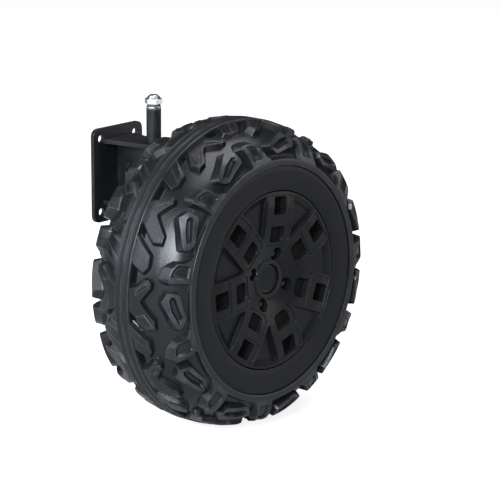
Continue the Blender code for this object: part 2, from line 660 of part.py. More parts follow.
def build_kingpin():
    pin = make_axis("kingpin_axis", KINGPIN_FOOT)
    foot = -KNUCKLE_HEIGHT - FIT
    bore = round_outside(KINGPIN_RADIUS + FIT, STEPS_SMALL)
    collar_top = SLEEVE_TOP + FIT + SLEEVE_BUSH_FLANGE
    washer_top = collar_top + FIT + KINGPIN_WASHER
    spacer_top = washer_top + FIT + KINGPIN_SPACER
    top = spacer_top + FIT + KINGPIN_NUT_HEIGHT + KINGPIN_END
    head = flat_solid("kingpin_head", [circle((0, 0), NUT_RADIUS, 6)], foot - KINGPIN_HEAD_HEIGHT, foot, None, pin)
    r, chamfer = KINGPIN_RADIUS, EDGE
    shank = [(0, top), (r - chamfer, top), (r, top - chamfer),
             (r, foot - KINGPIN_HEAD_HEIGHT / 2), (0, foot - KINGPIN_HEAD_HEIGHT / 2)]
    combine(turned("kingpin_bolt", shank, bright_steel, pin), head, "UNION")
    turned("kingpin_washer", ring_profile(bore, KINGPIN_WASHER_RADIUS, collar_top + FIT, washer_top),
           bright_steel, pin)
    turned("kingpin_spacer", ring_profile(bore, KINGPIN_SPACER_RADIUS, washer_top + FIT, spacer_top), nylon, pin)
    make_nut("kingpin_nut", spacer_top + FIT, KINGPIN_NUT_HEIGHT, bore, pin)
    make_knuckle(pin, bore)
    thrust_low = KNUCKLE_HEIGHT + FIT
    thrust_high = SLEEVE_BOTTOM - 2 * FIT - SLEEVE_BUSH_FLANGE
    turned("thrust_washer", ring_profile(bore, THRUST_WASHER_RADIUS, thrust_low, thrust_high), nylon, pin)
    return pin


def make_knuckle(pin, bore):
    """Upright boss with a spigot for the stub axle and a flat steering arm, welded into one piece."""
    profile = disc_profile(KNUCKLE_RADIUS, -KNUCKLE_HEIGHT, KNUCKLE_HEIGHT, 1.5 * EDGE)
    knuckle = turned("steering_knuckle", profile, black_steel, pin)
    spigot_axis = make_axis("spigot_axis", (0, 0, 0), (math.radians(90), 0, 0))
    spigot_axis.parent = pin
    spigot = turned("knuckle_spigot", disc_profile(SPIGOT_RADIUS, 0, SPIGOT_REACH, 1.5 * EDGE), None, spigot_axis)
    combine(knuckle, spigot, "UNION")
    tip = (ARM_LENGTH, 0)
    lean = math.degrees(math.asin((ARM_ROOT_HALF_WIDTH - ARM_TIP_RADIUS) / ARM_LENGTH))
    outline = arc((0, 0), ARM_ROOT_HALF_WIDTH, 90 - lean, 270 + lean, 8)
    outline += arc(tip, ARM_TIP_RADIUS, -90 + lean, 90 - lean, 9)
    arm = flat_solid("knuckle_arm", [outline], ARM_LEVEL - ARM_THICKNESS / 2, ARM_LEVEL + ARM_THICKNESS / 2,
                     None, pin, Matrix.Rotation(math.radians(ARM_TURN), 4, "Z"))
    combine(knuckle, arm, "UNION")
    rod = turn_points([tip], ARM_TURN)[0]
    reach = KNUCKLE_HEIGHT * 2
    holes = flat_solid("knuckle_holes", [circle((0, 0), bore), circle(rod, ARM_HOLE_RADIUS, 16)], -reach, reach,
                       None, pin)
    combine(knuckle, holes, "DIFFERENCE")
    socket_radius = round_outside(AXLE_RADIUS + FIT, STEPS_SMALL)
    socket = turned("knuckle_socket", disc_profile(socket_radius, SPIGOT_REACH - AXLE_SOCKET_DEPTH,
                                                   SPIGOT_REACH + AXLE_SOCKET_DEPTH), None, spigot_axis)
    combine(knuckle, socket, "DIFFERENCE")


def build_bracket(pin):
    """Sleeve round the kingpin, two plates that carry it, the web between them and the bolted back plate."""
    bore = round_outside(KINGPIN_RADIUS + FIT, STEPS_SMALL)
    turned("kingpin_sleeve", ring_profile(bore, SLEEVE_RADIUS, SLEEVE_BOTTOM, SLEEVE_TOP), black_steel, pin)
    turned("sleeve_bush_upper", ring_profile(bore, SLEEVE_RADIUS, SLEEVE_TOP + FIT,
                                             SLEEVE_TOP + FIT + SLEEVE_BUSH_FLANGE), nylon, pin)
    turned("sleeve_bush_lower", ring_profile(bore, LOWER_BUSH_RADIUS, SLEEVE_BOTTOM - FIT - SLEEVE_BUSH_FLANGE,
                                             SLEEVE_BOTTOM - FIT), nylon, pin)
    plate_front = PLATE_STANDOFF - PLATE_THICKNESS - FIT
    eye = round_outside(SLEEVE_RADIUS + FIT, STEPS_SMALL)
    outline = arc((0, 0), BRACKET_EYE_RADIUS, 180, 360, 13)
    outline += [(BRACKET_HALF_WIDTH, plate_front), (-BRACKET_HALF_WIDTH, plate_front)]
    for name, level in (("bracket_upper", BRACKET_UPPER_LEVEL), ("bracket_lower", BRACKET_LOWER_LEVEL)):
        flat_solid(name, [outline, circle((0, 0), eye)], level - BRACKET_THICKNESS / 2,
                   level + BRACKET_THICKNESS / 2, black_steel, pin)
    low = BRACKET_LOWER_LEVEL + BRACKET_THICKNESS / 2 + FIT
    high = BRACKET_UPPER_LEVEL - BRACKET_THICKNESS / 2 - FIT
    start = SLEEVE_RADIUS + FIT
    web = [(start, low), (plate_front, low), (plate_front, high), (start, high)]
    hole = circle(((start + plate_front) / 2, (low + high) / 2), WEB_LIGHTENING_RADIUS)
    stand = Matrix(((0, 0, 1, 0), (1, 0, 0, 0), (0, 1, 0, 0), (0, 0, 0, 1)))
    flat_solid("bracket_web", [web, hole], -BRACKET_THICKNESS / 2, BRACKET_THICKNESS / 2, black_steel, pin, stand)
    make_mounting_plate()


def make_mounting_plate():
    mount = make_axis("mount_axis", (0, 0, 0), (math.radians(90), 0, 0))
    outlines = [rounded_box(PLATE_WIDTH / 2, PLATE_HEIGHT / 2, PLATE_CORNER)]
    for x in (-1, 1):
        for z in (-1, 1):
            outlines.append(circle((x * PLATE_HOLE_ACROSS / 2, z * PLATE_HOLE_UP / 2), PLATE_HOLE_RADIUS, 16))
    flat_solid("mounting_plate", outlines, 0, PLATE_THICKNESS, black_steel, mount)


def build():
    outer = build_wheel()
    build_axle(outer)
    pin = build_kingpin()
    build_bracket(pin)


clear_scene()
parts = make_collection("ride_on_front_wheel")
cutters = make_collection("cutters")
tyre_plastic = make_material("tyre_plastic", (0.030, 0.031, 0.033), 0.62, 0)
wheel_plastic = make_material("wheel_plastic", (0.026, 0.027, 0.029), 0.5, 0)
bright_steel = make_material("bright_steel", (0.62, 0.63, 0.65), 0.25, 1)
black_steel = make_material("black_steel", (0.012, 0.012, 0.013), 0.4, 0)
nylon = make_material("nylon", (0.02, 0.02, 0.02), 0.5, 0)
build()
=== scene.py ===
import json
import math

import bmesh
import bpy
import numpy as np
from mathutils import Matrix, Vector
from mathutils.geometry import delaunay_2d_cdt

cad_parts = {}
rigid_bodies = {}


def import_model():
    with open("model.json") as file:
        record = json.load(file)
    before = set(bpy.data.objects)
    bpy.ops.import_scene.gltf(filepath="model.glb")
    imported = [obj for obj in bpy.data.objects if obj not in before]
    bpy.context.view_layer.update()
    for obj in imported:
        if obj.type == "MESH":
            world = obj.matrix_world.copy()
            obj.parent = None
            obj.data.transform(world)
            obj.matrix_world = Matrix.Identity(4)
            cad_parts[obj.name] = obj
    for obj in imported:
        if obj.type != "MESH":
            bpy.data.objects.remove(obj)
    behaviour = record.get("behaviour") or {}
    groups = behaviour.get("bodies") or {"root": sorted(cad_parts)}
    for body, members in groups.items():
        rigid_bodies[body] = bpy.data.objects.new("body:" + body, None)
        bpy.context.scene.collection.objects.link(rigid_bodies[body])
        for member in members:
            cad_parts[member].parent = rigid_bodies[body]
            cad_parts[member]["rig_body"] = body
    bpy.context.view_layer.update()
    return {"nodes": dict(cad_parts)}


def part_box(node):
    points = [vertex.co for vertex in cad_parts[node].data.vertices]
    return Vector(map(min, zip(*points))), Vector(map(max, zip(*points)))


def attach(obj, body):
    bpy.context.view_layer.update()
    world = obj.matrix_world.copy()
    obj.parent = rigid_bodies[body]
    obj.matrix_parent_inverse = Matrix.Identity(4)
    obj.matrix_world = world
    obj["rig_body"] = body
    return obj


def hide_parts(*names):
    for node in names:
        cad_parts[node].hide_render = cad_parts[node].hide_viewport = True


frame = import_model()
mm = 0.001
wheelCentre = np.array([0.0, -178.0, -88.0]) * mm
outboard = np.array([0.0, -1.0, 0.0])

# Camera, fitted to the photograph through the wheel's middle
camera = {
    "distance": 3.2,
    "azimuth": -47.7,  # degrees, from the wheel's outboard side towards its front
    "elevation": 14.34,
    "lens": 204.84,
    "sensor": 36.0,
    "shift": (0.0416, 0.0408),
    "farthest": 50.0,
}


def placeCamera(values):
    turn = math.radians(values["azimuth"])
    rise = math.radians(values["elevation"])
    toCamera = Vector((math.sin(turn) * math.cos(rise), -math.cos(turn) * math.cos(rise), math.sin(rise)))
    data = bpy.data.cameras.new("photoCamera")
    data.lens = values["lens"]
    data.sensor_width = values["sensor"]
    data.shift_x, data.shift_y = values["shift"]
    data.clip_end = values["farthest"]
    view = bpy.data.objects.new("photoCamera", data)
    view.location = Vector(wheelCentre) + toCamera * values["distance"]
    view.rotation_euler = (-toCamera).to_track_quat("-Z", "Y").to_euler()
    bpy.context.scene.collection.objects.link(view)
    bpy.context.scene.camera = view


placeCamera(camera)
print("camera placed")

# Node groups that several finishes share
# Pointiness is 0.5 on a flat face, more on an edge and less in a hollow.
marks = {
    "rubbedHighlitEdge": (0.515, 0.57),  # pointiness from which an edge looks worn and gets a painted highlight, and at which it is fully so
    "rubbedHighlightNoise": (0.30, 0.60),
    "rubbedHighlightScale": 60.0,
    "hollowShade": (0.492, 0.455),  # pointiness from which a hollow gets painted shade, and at which it is darkest
    "sinkScale": 26.0,
    "mottleScale": 9.0,
    "mottleNoise": (0.3, 0.7),
    "dustUpward": (-0.2, 1.0),  # upward share of a face's direction
    "dustHollow": (0.49, 0.40),
    "dustOutside": 0.25,  # share of the dust that also lies where no hollow is
    "dustScale": 45.0,
    "dustColour": (0.16, 0.155, 0.145, 1),
    "shadeLevels": (0.0565, 0.061),  # m outboard of the wheel's middle: what lies behind is shaded
    "shadeRadii": (0.036, 0.038),  # m; inside them the first level holds, outside them the second
    "shadeBlend": (-0.0006, 0.0008),
    "shadeColour": (0.0004, 0.0004, 0.0005, 1),
    "streakScale": 240.0,
}


def startGroup(name, inputs, outputs):
    # A group whose sockets are all numbers: its inputs with their first values, and its outputs.
    group = bpy.data.node_groups.new(name, "ShaderNodeTree")
    for label, value in inputs:
        socket = group.interface.new_socket(name=label, in_out="INPUT", socket_type="NodeSocketFloat")
        socket.default_value = value
    for label in outputs:
        group.interface.new_socket(name=label, in_out="OUTPUT", socket_type="NodeSocketFloat")
    return group, group.nodes.new("NodeGroupInput"), group.nodes.new("NodeGroupOutput")


def addNode(tree, kind, settings=None, values=None):
    # One node, its settings, and its sockets' values or the sockets that feed them.
    node = tree.nodes.new(kind)
    for name, value in (settings or {}).items():
        setattr(node, name, value)
    for name, value in (values or {}).items():
        if isinstance(value, bpy.types.NodeSocket):
            tree.links.new(value, node.inputs[name])
        else:
            node.inputs[name].default_value = value
    return node


def calculate(tree, operation, *inputs, clamp=False):
    settings = {"operation": operation, "use_clamp": clamp}
    return addNode(tree, "ShaderNodeMath", settings, dict(enumerate(inputs))).outputs["Value"]


def ramp(tree, value, span, result=(0.0, 1.0)):
    # A straight ramp that carries one span to the other and is held at its ends.
    values = dict(zip(("Value", "From Min", "From Max", "To Min", "To Max"), (value, *span, *result)))
    return addNode(tree, "ShaderNodeMapRange", values=values).outputs["Result"]


def noise(tree, place, scale, detail, roughness=0.5):
    values = {"Vector": place, "Scale": scale, "Detail": detail, "Roughness": roughness}
    return addNode(tree, "ShaderNodeTexNoise", values=values).outputs["Fac"]


def blend(tree, share, first, second):
    # Inputs 6 and 7 of the mix node are its colours, and output 2 is the mixed one.
    colours = {"Factor": share, 6: first, 7: second}
    return addNode(tree, "ShaderNodeMix", {"data_type": "RGBA"}, colours).outputs[2]


def objectPlace(tree):
    return addNode(tree, "ShaderNodeTexCoord").outputs["Object"]


def edgeWearHighlightAndShadeGroup():
    # worn-edge share, partly real and partly a painted highlight, = ramp of pointiness, broken up by noise,
    # times an amount
    # painted shade share in hollows = ramp of pointiness the other way
    group, start, end = startGroup("edgeWearHighlightAndShade", [("Amount", 0.5)], ["Mask", "Hollow"])
    pointiness = addNode(group, "ShaderNodeNewGeometry").outputs["Pointiness"]
    edge = ramp(group, pointiness, marks["rubbedHighlitEdge"])
    patches = noise(group, objectPlace(group), marks["rubbedHighlightScale"], detail=5.0)
    both = calculate(group, "MULTIPLY", edge, ramp(group, patches, marks["rubbedHighlightNoise"]))
    rubbedAndHighlit = calculate(group, "MULTIPLY", both, start.outputs["Amount"], clamp=True)
    group.links.new(rubbedAndHighlit, end.inputs["Mask"])
    group.links.new(ramp(group, pointiness, marks["hollowShade"]), end.inputs["Hollow"])
    return group


def mouldGrainGroup():
    # height = fine grain + slow sink marks; mottle = one more noise, which shades the colour and the gloss
    inputs = [("Grain Scale", 900.0), ("Wave Share", 0.5)]
    group, start, end = startGroup("mouldGrain", inputs, ["Height", "Mottle"])
    place = objectPlace(group)
    fine = noise(group, place, start.outputs["Grain Scale"], detail=3.0, roughness=0.6)
    slow = noise(group, place, marks["sinkScale"], detail=2.0)
    cloud = noise(group, place, marks["mottleScale"], detail=6.0, roughness=0.65)
    height = calculate(group, "MULTIPLY_ADD", slow, start.outputs["Wave Share"], fine)
    group.links.new(height, end.inputs["Height"])
    group.links.new(ramp(group, cloud, marks["mottleNoise"]), end.inputs["Mottle"])
    return group


def dustGroup():
    # dust share = how far a face looks up, times how hollow the surface is, broken up by noise
    group, start, end = startGroup("settledDust", [("Amount", 0.1)], ["Mask"])
    shape = addNode(group, "ShaderNodeNewGeometry")
    split = addNode(group, "ShaderNodeSeparateXYZ", values={"Vector": shape.outputs["Normal"]})
    upward = ramp(group, split.outputs["Z"], marks["dustUpward"])
    hollow = ramp(group, shape.outputs["Pointiness"], marks["dustHollow"], (marks["dustOutside"], 1.0))
    broken = noise(group, objectPlace(group), marks["dustScale"], detail=7.0, roughness=0.7)
    lying = calculate(group, "MULTIPLY", upward, hollow)
    patchy = calculate(group, "MULTIPLY", lying, broken)
    settled = calculate(group, "MULTIPLY", patchy, start.outputs["Amount"], clamp=True)
    group.links.new(settled, end.inputs["Mask"])
    return group


def deepShadeGroup():
    # painted shade share = how far a point lies behind a level in the wheel's face, which darkens the deep
    # windows and the screw wells
    # The level steps up outside the ring of the screw wells.
    group, _, end = startGroup("deepShade", [], ["Mask"])
    place = {0: objectPlace(group), 1: tuple(wheelCentre)}
    local = addNode(group, "ShaderNodeVectorMath", {"operation": "SUBTRACT"}, place).outputs["Vector"]
    split = addNode(group, "ShaderNodeSeparateXYZ", values={"Vector": local})
    flat = addNode(group, "ShaderNodeVectorMath", {"operation": "MULTIPLY"}, {0: local, 1: (1, 0, 1)})
    radius = addNode(group, "ShaderNodeVectorMath", {"operation": "LENGTH"}, {0: flat.outputs["Vector"]})
    level = ramp(group, radius.outputs["Value"], marks["shadeRadii"], marks["shadeLevels"])
    behind = calculate(group, "ADD", level, split.outputs["Y"])
    group.links.new(ramp(group, behind, marks["shadeBlend"]), end.inputs["Mask"])
    return group


edgeWearHighlightAndShade = edgeWearHighlightAndShadeGroup()
mouldGrain = mouldGrainGroup()
settledDust = dustGroup()
deepShade = deepShadeGroup()


def addGroup(tree, group, values):
    return addNode(tree, "ShaderNodeGroup", {"node_tree": group}, values)


def startFinish(name, look):
    # Mottled colour with paler edges, partly worn and partly a painted highlight, and grain in the bump; the
    # caller joins colour and gloss.
    finish = bpy.data.materials.new(name)
    finish.use_nodes = True
    tree = finish.node_tree
    shader = tree.nodes["Principled BSDF"]
    shader.inputs["Specular IOR Level"].default_value = look["specular"]
    grain = addGroup(tree, mouldGrain, {"Grain Scale": look["grainScale"], "Wave Share": look["waveShare"]})
    wearAndPaintedLight = addGroup(tree, edgeWearHighlightAndShade, {"Amount": look["wearAndPaintedLight"]})
    mottled = blend(tree, grain.outputs["Mottle"], (*look["colour"], 1), (*look["paler"], 1))
    # Edges: paler where worn, and a painted highlight along them.
    rubbedAndHighlit = blend(tree, wearAndPaintedLight.outputs["Mask"], mottled, (*look["rubbedAndHighlit"], 1))
    height = {"Height": grain.outputs["Height"], "Strength": look["bump"], "Distance": look["bumpDepth"]}
    bump = addNode(tree, "ShaderNodeBump", values=height)
    tree.links.new(bump.outputs["Normal"], shader.inputs["Normal"])
    return finish, shader, rubbedAndHighlit, grain, wearAndPaintedLight


def mouldedPlastic(name, look):
    # Through-coloured plastic: dust on top, and painted shade that turns the hollows and the deep windows
    # nearly black and matt.
    finish, shader, rubbedAndHighlit, grain, wearAndPaintedLight = startFinish(name, look)
    tree = finish.node_tree
    dust = addGroup(tree, settledDust, {"Amount": look["dust"]})
    dusty = blend(tree, dust.outputs["Mask"], rubbedAndHighlit, marks["dustColour"])
    gloss = ramp(tree, grain.outputs["Mottle"], (0.0, 1.0), look["roughness"])
    deep = addGroup(tree, deepShade, {})
    # Painted shade: the hollows and the deep windows go nearly black and matt.
    hollow = calculate(tree, "MULTIPLY", wearAndPaintedLight.outputs["Hollow"], look["hollow"])
    shade = calculate(tree, "MULTIPLY_ADD", deep.outputs["Mask"], look["deep"], hollow, clamp=True)
    matt = addNode(tree, "ShaderNodeMix", values={"Factor": shade, 2: gloss, 3: 1.0})
    tree.links.new(blend(tree, shade, dusty, marks["shadeColour"]), shader.inputs["Base Color"])
    tree.links.new(matt.outputs[0], shader.inputs["Roughness"])
    return finish


def metalFinish(name, look):
    # Plated or painted metal, with brushed noise in the gloss.
    finish, shader, rubbedAndHighlit = startFinish(name, look)[:3]
    tree = finish.node_tree
    shader.inputs["Metallic"].default_value = look["metallic"]
    stretch = {"Vector": objectPlace(tree), "Scale": look["brushing"]}
    stretched = addNode(tree, "ShaderNodeMapping", values=stretch).outputs["Vector"]
    streaks = noise(tree, stretched, marks["streakScale"], detail=4.0)
    tree.links.new(rubbedAndHighlit, shader.inputs["Base Color"])
    tree.links.new(ramp(tree, streaks, (0.0, 1.0), look["roughness"]), shader.inputs["Roughness"])
    return finish


finishes = {
    "tyre_plastic": mouldedPlastic("treadPlastic", {
        "colour": (0.0052, 0.0054, 0.0061), "paler": (0.0080, 0.0083, 0.0092),
        "rubbedAndHighlit": (0.045, 0.047, 0.052), "wearAndPaintedLight": 0.85, "dust": 0.06, "hollow": 1.0, "deep": 0.0,
        "roughness": (0.20, 0.29), "specular": 0.29,
        "grainScale": 1100.0, "waveShare": 1.2, "bump": 0.3, "bumpDepth": 0.0004,
    }),
    "wheel_plastic": mouldedPlastic("discPlastic", {
        "colour": (0.0030, 0.0031, 0.0035), "paler": (0.0042, 0.0044, 0.0048),
        "rubbedAndHighlit": (0.026, 0.0265, 0.028), "wearAndPaintedLight": 0.6, "dust": 0.05, "hollow": 0.8, "deep": 0.85,
        "roughness": (0.30, 0.40), "specular": 0.17,
        "grainScale": 1500.0, "waveShare": 0.4, "bump": 0.2, "bumpDepth": 0.0002,
    }),
    "nylon": mouldedPlastic("bushNylon", {
        "colour": (0.03, 0.03, 0.03), "paler": (0.04, 0.04, 0.039),
        "rubbedAndHighlit": (0.09, 0.09, 0.088), "wearAndPaintedLight": 0.4, "dust": 0.4, "hollow": 0.3, "deep": 0.0,
        "roughness": (0.34, 0.44), "specular": 0.5,
        "grainScale": 1500.0, "waveShare": 0.3, "bump": 0.15, "bumpDepth": 0.0002,
    }),
    "bright_steel": metalFinish("zincPlate", {
        "colour": (0.60, 0.61, 0.63), "paler": (0.70, 0.71, 0.72), "rubbedAndHighlit": (0.82, 0.82, 0.82), "wearAndPaintedLight": 0.6,
        "roughness": (0.20, 0.36), "specular": 0.5, "metallic": 1.0, "brushing": (1, 1, 0.06),
        "grainScale": 700.0, "waveShare": 0.3, "bump": 0.12, "bumpDepth": 0.0002,
    }),
    "black_steel": metalFinish("blackPaint", {
        "colour": (0.004, 0.004, 0.0045), "paler": (0.006, 0.006, 0.0065),
        "rubbedAndHighlit": (0.035, 0.036, 0.038), "wearAndPaintedLight": 0.3,
        "roughness": (0.24, 0.34), "specular": 0.3, "metallic": 0.0, "brushing": (1, 1, 1),
        "grainScale": 420.0, "waveShare": 0.3, "bump": 0.1, "bumpDepth": 0.0002,
    }),
}
finishes["dark_steel"] = finishes["black_steel"]
print("materials built")

# Mesh helpers
meshing = {
    "solidWeld": 0.00002,  # m
    "solidFlat": 1.0,  # degrees under which two faces of a solid count as one
    "solidSharp": 34,  # degrees over which an edge stays sharp, or is rounded
    "turnedSharp": 40,
}


def finishPiece(name, mesh, slotName, body, replaced, sharpAngle, edge=0):
    # The mesh as an object in its finish, riding on a body; 'edge' is the width of its rounded edges.
    mesh.polygons.foreach_set("use_smooth", np.ones(len(mesh.polygons), bool))
    mesh.set_sharp_from_angle(angle=math.radians(sharpAngle))
    mesh.materials.clear()
    mesh.materials.append(finishes[slotName])
    piece = bpy.data.objects.new(name, mesh)
    bpy.context.scene.collection.objects.link(piece)
    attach(piece, body)
    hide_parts(*replaced)
    if edge:
        rounding = piece.modifiers.new("roundedEdges", "BEVEL")
        rounding.width = edge
        rounding.segments = 2
        rounding.limit_method = "ANGLE"
        rounding.angle_limit = math.radians(sharpAngle)
        rounding.use_clamp_overlap = True
    even = piece.modifiers.new("evenShading", "WEIGHTED_NORMAL")
    even.keep_sharp = True


def gridFaces(rows, columns, closeRows=False, start=0):
    # Quads between neighbouring rows of a grid that closes along its columns, as an array of point numbers.
    r = np.arange(rows if closeRows else rows - 1)[:, None]
    c = np.arange(columns)[None, :]
    row, nextRow, nextColumn = r * columns, (r + 1) % rows * columns, (c + 1) % columns
    quads = np.stack([row + c, row + nextColumn, nextRow + nextColumn, nextRow + c], -1)
    return quads.reshape(-1, 4) + start


def roundedProfile(corners, reach, cuts):
    # Each corner of an open profile becomes a quadratic curve that starts and ends 'reach' from it.
    corners = np.asarray(corners, float)
    middle = corners[1:-1]
    before, after = corners[:-2] - middle, corners[2:] - middle
    lengthBefore = np.linalg.norm(before, axis=1, keepdims=True)
    lengthAfter = np.linalg.norm(after, axis=1, keepdims=True)
    begin = middle + before * np.minimum(reach / lengthBefore, 0.48)
    finish = middle + after * np.minimum(reach / lengthAfter, 0.48)
    t = np.linspace(0, 1, cuts)[None, :, None]
    bends = (1 - t) ** 2 * begin[:, None] + 2 * t * (1 - t) * middle[:, None] + t**2 * finish[:, None]
    return np.concatenate([corners[:1], bends.reshape(-1, 2), corners[-1:]])


def turnedPiece(name, profile, node, steps, reach, cuts):
    # A closed profile of (radius, height) carried round the axle:
    # point = wheel's middle + radius * (-sin, 0, cos) + height * outboard
    profile = np.asarray(profile, float)
    onAxis = profile[0, 0] < 1e-9 and profile[-1, 0] < 1e-9
    if not onAxis:
        middle = (profile[0] + profile[-1]) / 2
        profile = np.concatenate([middle[None], profile, middle[None]])
    bent = roundedProfile(profile, reach, cuts)
    if not onAxis:
        bent = bent[:-1]
    turn = np.linspace(0, 2 * np.pi, steps, endpoint=False)
    ring = np.stack([-np.sin(turn), np.zeros(steps), np.cos(turn)], -1)
    points = wheelCentre + bent[:, 0, None, None] * ring[None] + bent[:, 1, None, None] * outboard
    faces = gridFaces(len(bent), steps, closeRows=not onAxis)
    mesh = bpy.data.meshes.new(name)
    mesh.from_pydata(points.reshape(-1, 3).tolist(), [], faces.tolist())
    closeMesh(mesh)
    finishPiece(name, mesh, "wheel_plastic", "wheel", (node,), meshing["turnedSharp"])


def closeMesh(mesh, within=1e-6):
    # Welds what meets, closes the lugs' sunk roots and turns every face outwards.
    shape = bmesh.new()
    shape.from_mesh(mesh)
    bmesh.ops.remove_doubles(shape, verts=shape.verts, dist=within)
    bmesh.ops.holes_fill(shape, edges=[edge for edge in shape.edges if edge.is_boundary], sides=0)
    bmesh.ops.recalc_face_normals(shape, faces=shape.faces)
    shape.to_mesh(mesh)
    shape.free()


def edgedNode(node, name, slotName, body, edge):
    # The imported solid's own faces, welded, joined where they lie flat, with rounded edges
    mesh = frame["nodes"][node].data.copy()
    mesh.name = name
    shape = bmesh.new()
    shape.from_mesh(mesh)
    bmesh.ops.remove_doubles(shape, verts=shape.verts, dist=meshing["solidWeld"])
    flat = math.radians(meshing["solidFlat"])
    bmesh.ops.dissolve_limit(shape, angle_limit=flat, verts=shape.verts, edges=shape.edges)
    shape.to_mesh(mesh)
    shape.free()
    finishPiece(name, mesh, slotName, body, (node,), meshing["solidSharp"], edge)


# Tyre halves
tyre = {
    "crownRadius": 169.0,  # all in mm; the carcass, under the lugs
    "sideHeight": 62.0,
    "ringRadius": 129.0,
    "fullness": 2.1,  # exponent of the section's superellipse
    "sideLift": 3.2,  # how far the carcass comes up towards the lugs' tops near the bead ring
    "sideRise": (46.0, 82.0),
    "sideEnd": 82.4,
    "sideSteps": 34,
    "lugHeight": 6.0,
    "forkSunk": 0.5,  # how far the tops of forks and bars lie below the lugs' height, around their pads
    "barSunk": 0.6,
    "barPadRaised": 0.2,
    "pitches": 11,
    "notchTurn": 146.6,  # degrees from +X to the notch of one fork lug
    "ribRadius": 174.1,
    "ribHalfWidth": 10.5,
    "partingGap": 0.15,  # from the rib's middle to each half
    "fluteDepth": 0.5,
    "grooveWidth": 5.6,
    "grooveFloor": 161.6,
    "beadRadius": 137.6,
    "beadFace": 69.0,
    "boreRadius": 102.4,
    "seat": 62.3,
    "columnsPerPitch": 26,
    "draft": 2.6,  # how much further out a lug's foot lies than its top
    "lugRoot": -8.6,
    "steppedRoot": -5.0,  # the root of tongues and fangs
    "lugRadius": 160.0,  # where a degree round the tyre is measured in mm
    "shoulderGrowth": 0.75,  # share by which lugs are higher there
    "shoulderRise": (26.0, 58.0),
    "shoulderFall": (66.0, 86.0),
    "shoulderLoss": 0.8,
    "ribsideDrop": 0.2,
    "ribside": (10.0, 20.0),
    "partingWaves": ((0.22, 23, 0.0), (0.16, 41, 1.3), (0.10, 67, 0.4)),  # depth, waves in a turn, start
    "waveFade": 6.0,
    "waveRadius": 150.0,  # no wave inside it
    "weld": 2e-6,  # m
    "sharpAngle": 42,
}
sectionAngle = np.linspace(0, 90, 1441)  # degrees along the section, from the crown to the side


def sectionPoint(angle, lift):
    # radius = ring + rise * cos(angle)^(2/p), height = half width * sin(angle)^(2/p),
    # both 'lift' mm above the carcass
    power = 2 / tyre["fullness"]
    turn = np.radians(angle)
    rise = tyre["crownRadius"] - tyre["ringRadius"] + lift
    radius = tyre["ringRadius"] + rise * np.maximum(np.cos(turn), 0) ** power
    height = (tyre["sideHeight"] + lift) * np.sin(turn) ** power
    return radius, height


topRadius, topHeight = sectionPoint(sectionAngle, tyre["lugHeight"])
sectionLength = np.concatenate([[0], np.cumsum(np.hypot(np.diff(topRadius), np.diff(topHeight)))])


def smoothStep(value, start, end):
    t = np.clip((value - start) / (end - start), 0, 1)
    return t * t * (3 - 2 * t)


def lugGrowth(along):
    # Lugs stand higher on the shoulder: a smooth rise, and a smooth fall towards the bead ring.
    # Next to the rib they stay a little below it.
    fall = 1 - tyre["shoulderLoss"] * smoothStep(along, *tyre["shoulderFall"])
    shoulder = tyre["shoulderGrowth"] * smoothStep(along, *tyre["shoulderRise"]) * fall
    return shoulder - tyre["ribsideDrop"] * (1 - smoothStep(along, *tyre["ribside"]))


def onWheel(radius, height, around, side):
    # Places round the wheel's middle, from mm and radians to metres in the frame.
    places = np.stack([radius * np.cos(around), -side * height, radius * np.sin(around)], -1)
    return places.reshape(-1, 3) * mm + wheelCentre


def tyrePoints(turn, along, lift, side):
    # Places on the tyre: turn in degrees round it, 'along' in mm from the rib's middle over the lugs' tops.
    lift = np.where(lift > 0, lift * (1 + lugGrowth(along)), lift)
    radius, height = sectionPoint(np.interp(along, sectionLength, sectionAngle), lift)
    around = np.radians(tyre["notchTurn"] + side * turn)
    return onWheel(radius, height, around, side)


# Lugs: corner lists in (degrees round the tyre from a fork's notch, mm along the section).
# A spine is the line that a lug's top closes on, walked there and back.
forkTop = [(-3.9, 8.6), (-4.9, 20.5), (-7.9, 31.0), (-8.1, 35.2), (-7.0, 38.3), (-5.4, 38.6),
           (-3.0, 32.8), (-0.3, 26.3), (0.9, 27.0), (4.2, 35.0), (7.3, 42.6), (10.2, 42.4), (10.5, 33.0),
           (5.4, 17.0), (3.4, 8.6)]
forkSpine = [(0.0, 13.5), (0.5, 20.2), (-4.6, 27.6)] + [(-6.5, 35.4)] * 3 + [(-4.6, 27.6)]
forkSpine += [(0.5, 20.2)] * 2 + [(6.2, 30.0)] + [(8.9, 39.6)] * 2 + [(6.2, 30.0), (0.5, 20.2), (0.0, 13.5)]
barTop = [(9.0, 8.6), (14.9, 30.3), (15.7, 32.7), (19.9, 32.7), (22.0, 28.0), (21.7, 25.4), (18.7, 8.6)]
barSpine = [(14.2, 12.5)] + [(18.5, 28.4)] * 5 + [(14.2, 12.5)]
tongueFoot = [(-0.4, 46.3), (-4.9, 54.8), (-5.0, 68.0), (-3.9, 71.5), (6.5, 78.4), (8.5, 77.3),
              (11.0, 72.6), (12.0, 64.6), (11.4, 61.0), (5.0, 54.6)]
tongueTop = [(-0.8, 50.8), (-4.2, 57.2), (-4.2, 67.6), (-3.3, 70.3), (6.4, 77.0), (7.8, 76.2),
             (9.9, 72.0), (10.7, 67.4), (9.9, 65.4), (3.8, 57.6)]
tongueSlot = [(-1.4, 59.2), (-2.9, 61.0), (-2.9, 63.6), (-2.4, 65.4), (5.0, 72.0), (6.4, 72.6),
              (8.1, 70.8), (8.5, 69.2), (7.9, 67.6), (3.4, 62.2)]
tongueFloor = [(-1.0, 60.8), (-1.9, 61.8), (-1.9, 63.2), (-1.6, 64.2), (5.0, 70.4), (6.0, 70.9),
               (6.9, 70.0), (7.1, 69.2), (6.7, 68.2), (3.0, 63.8)]
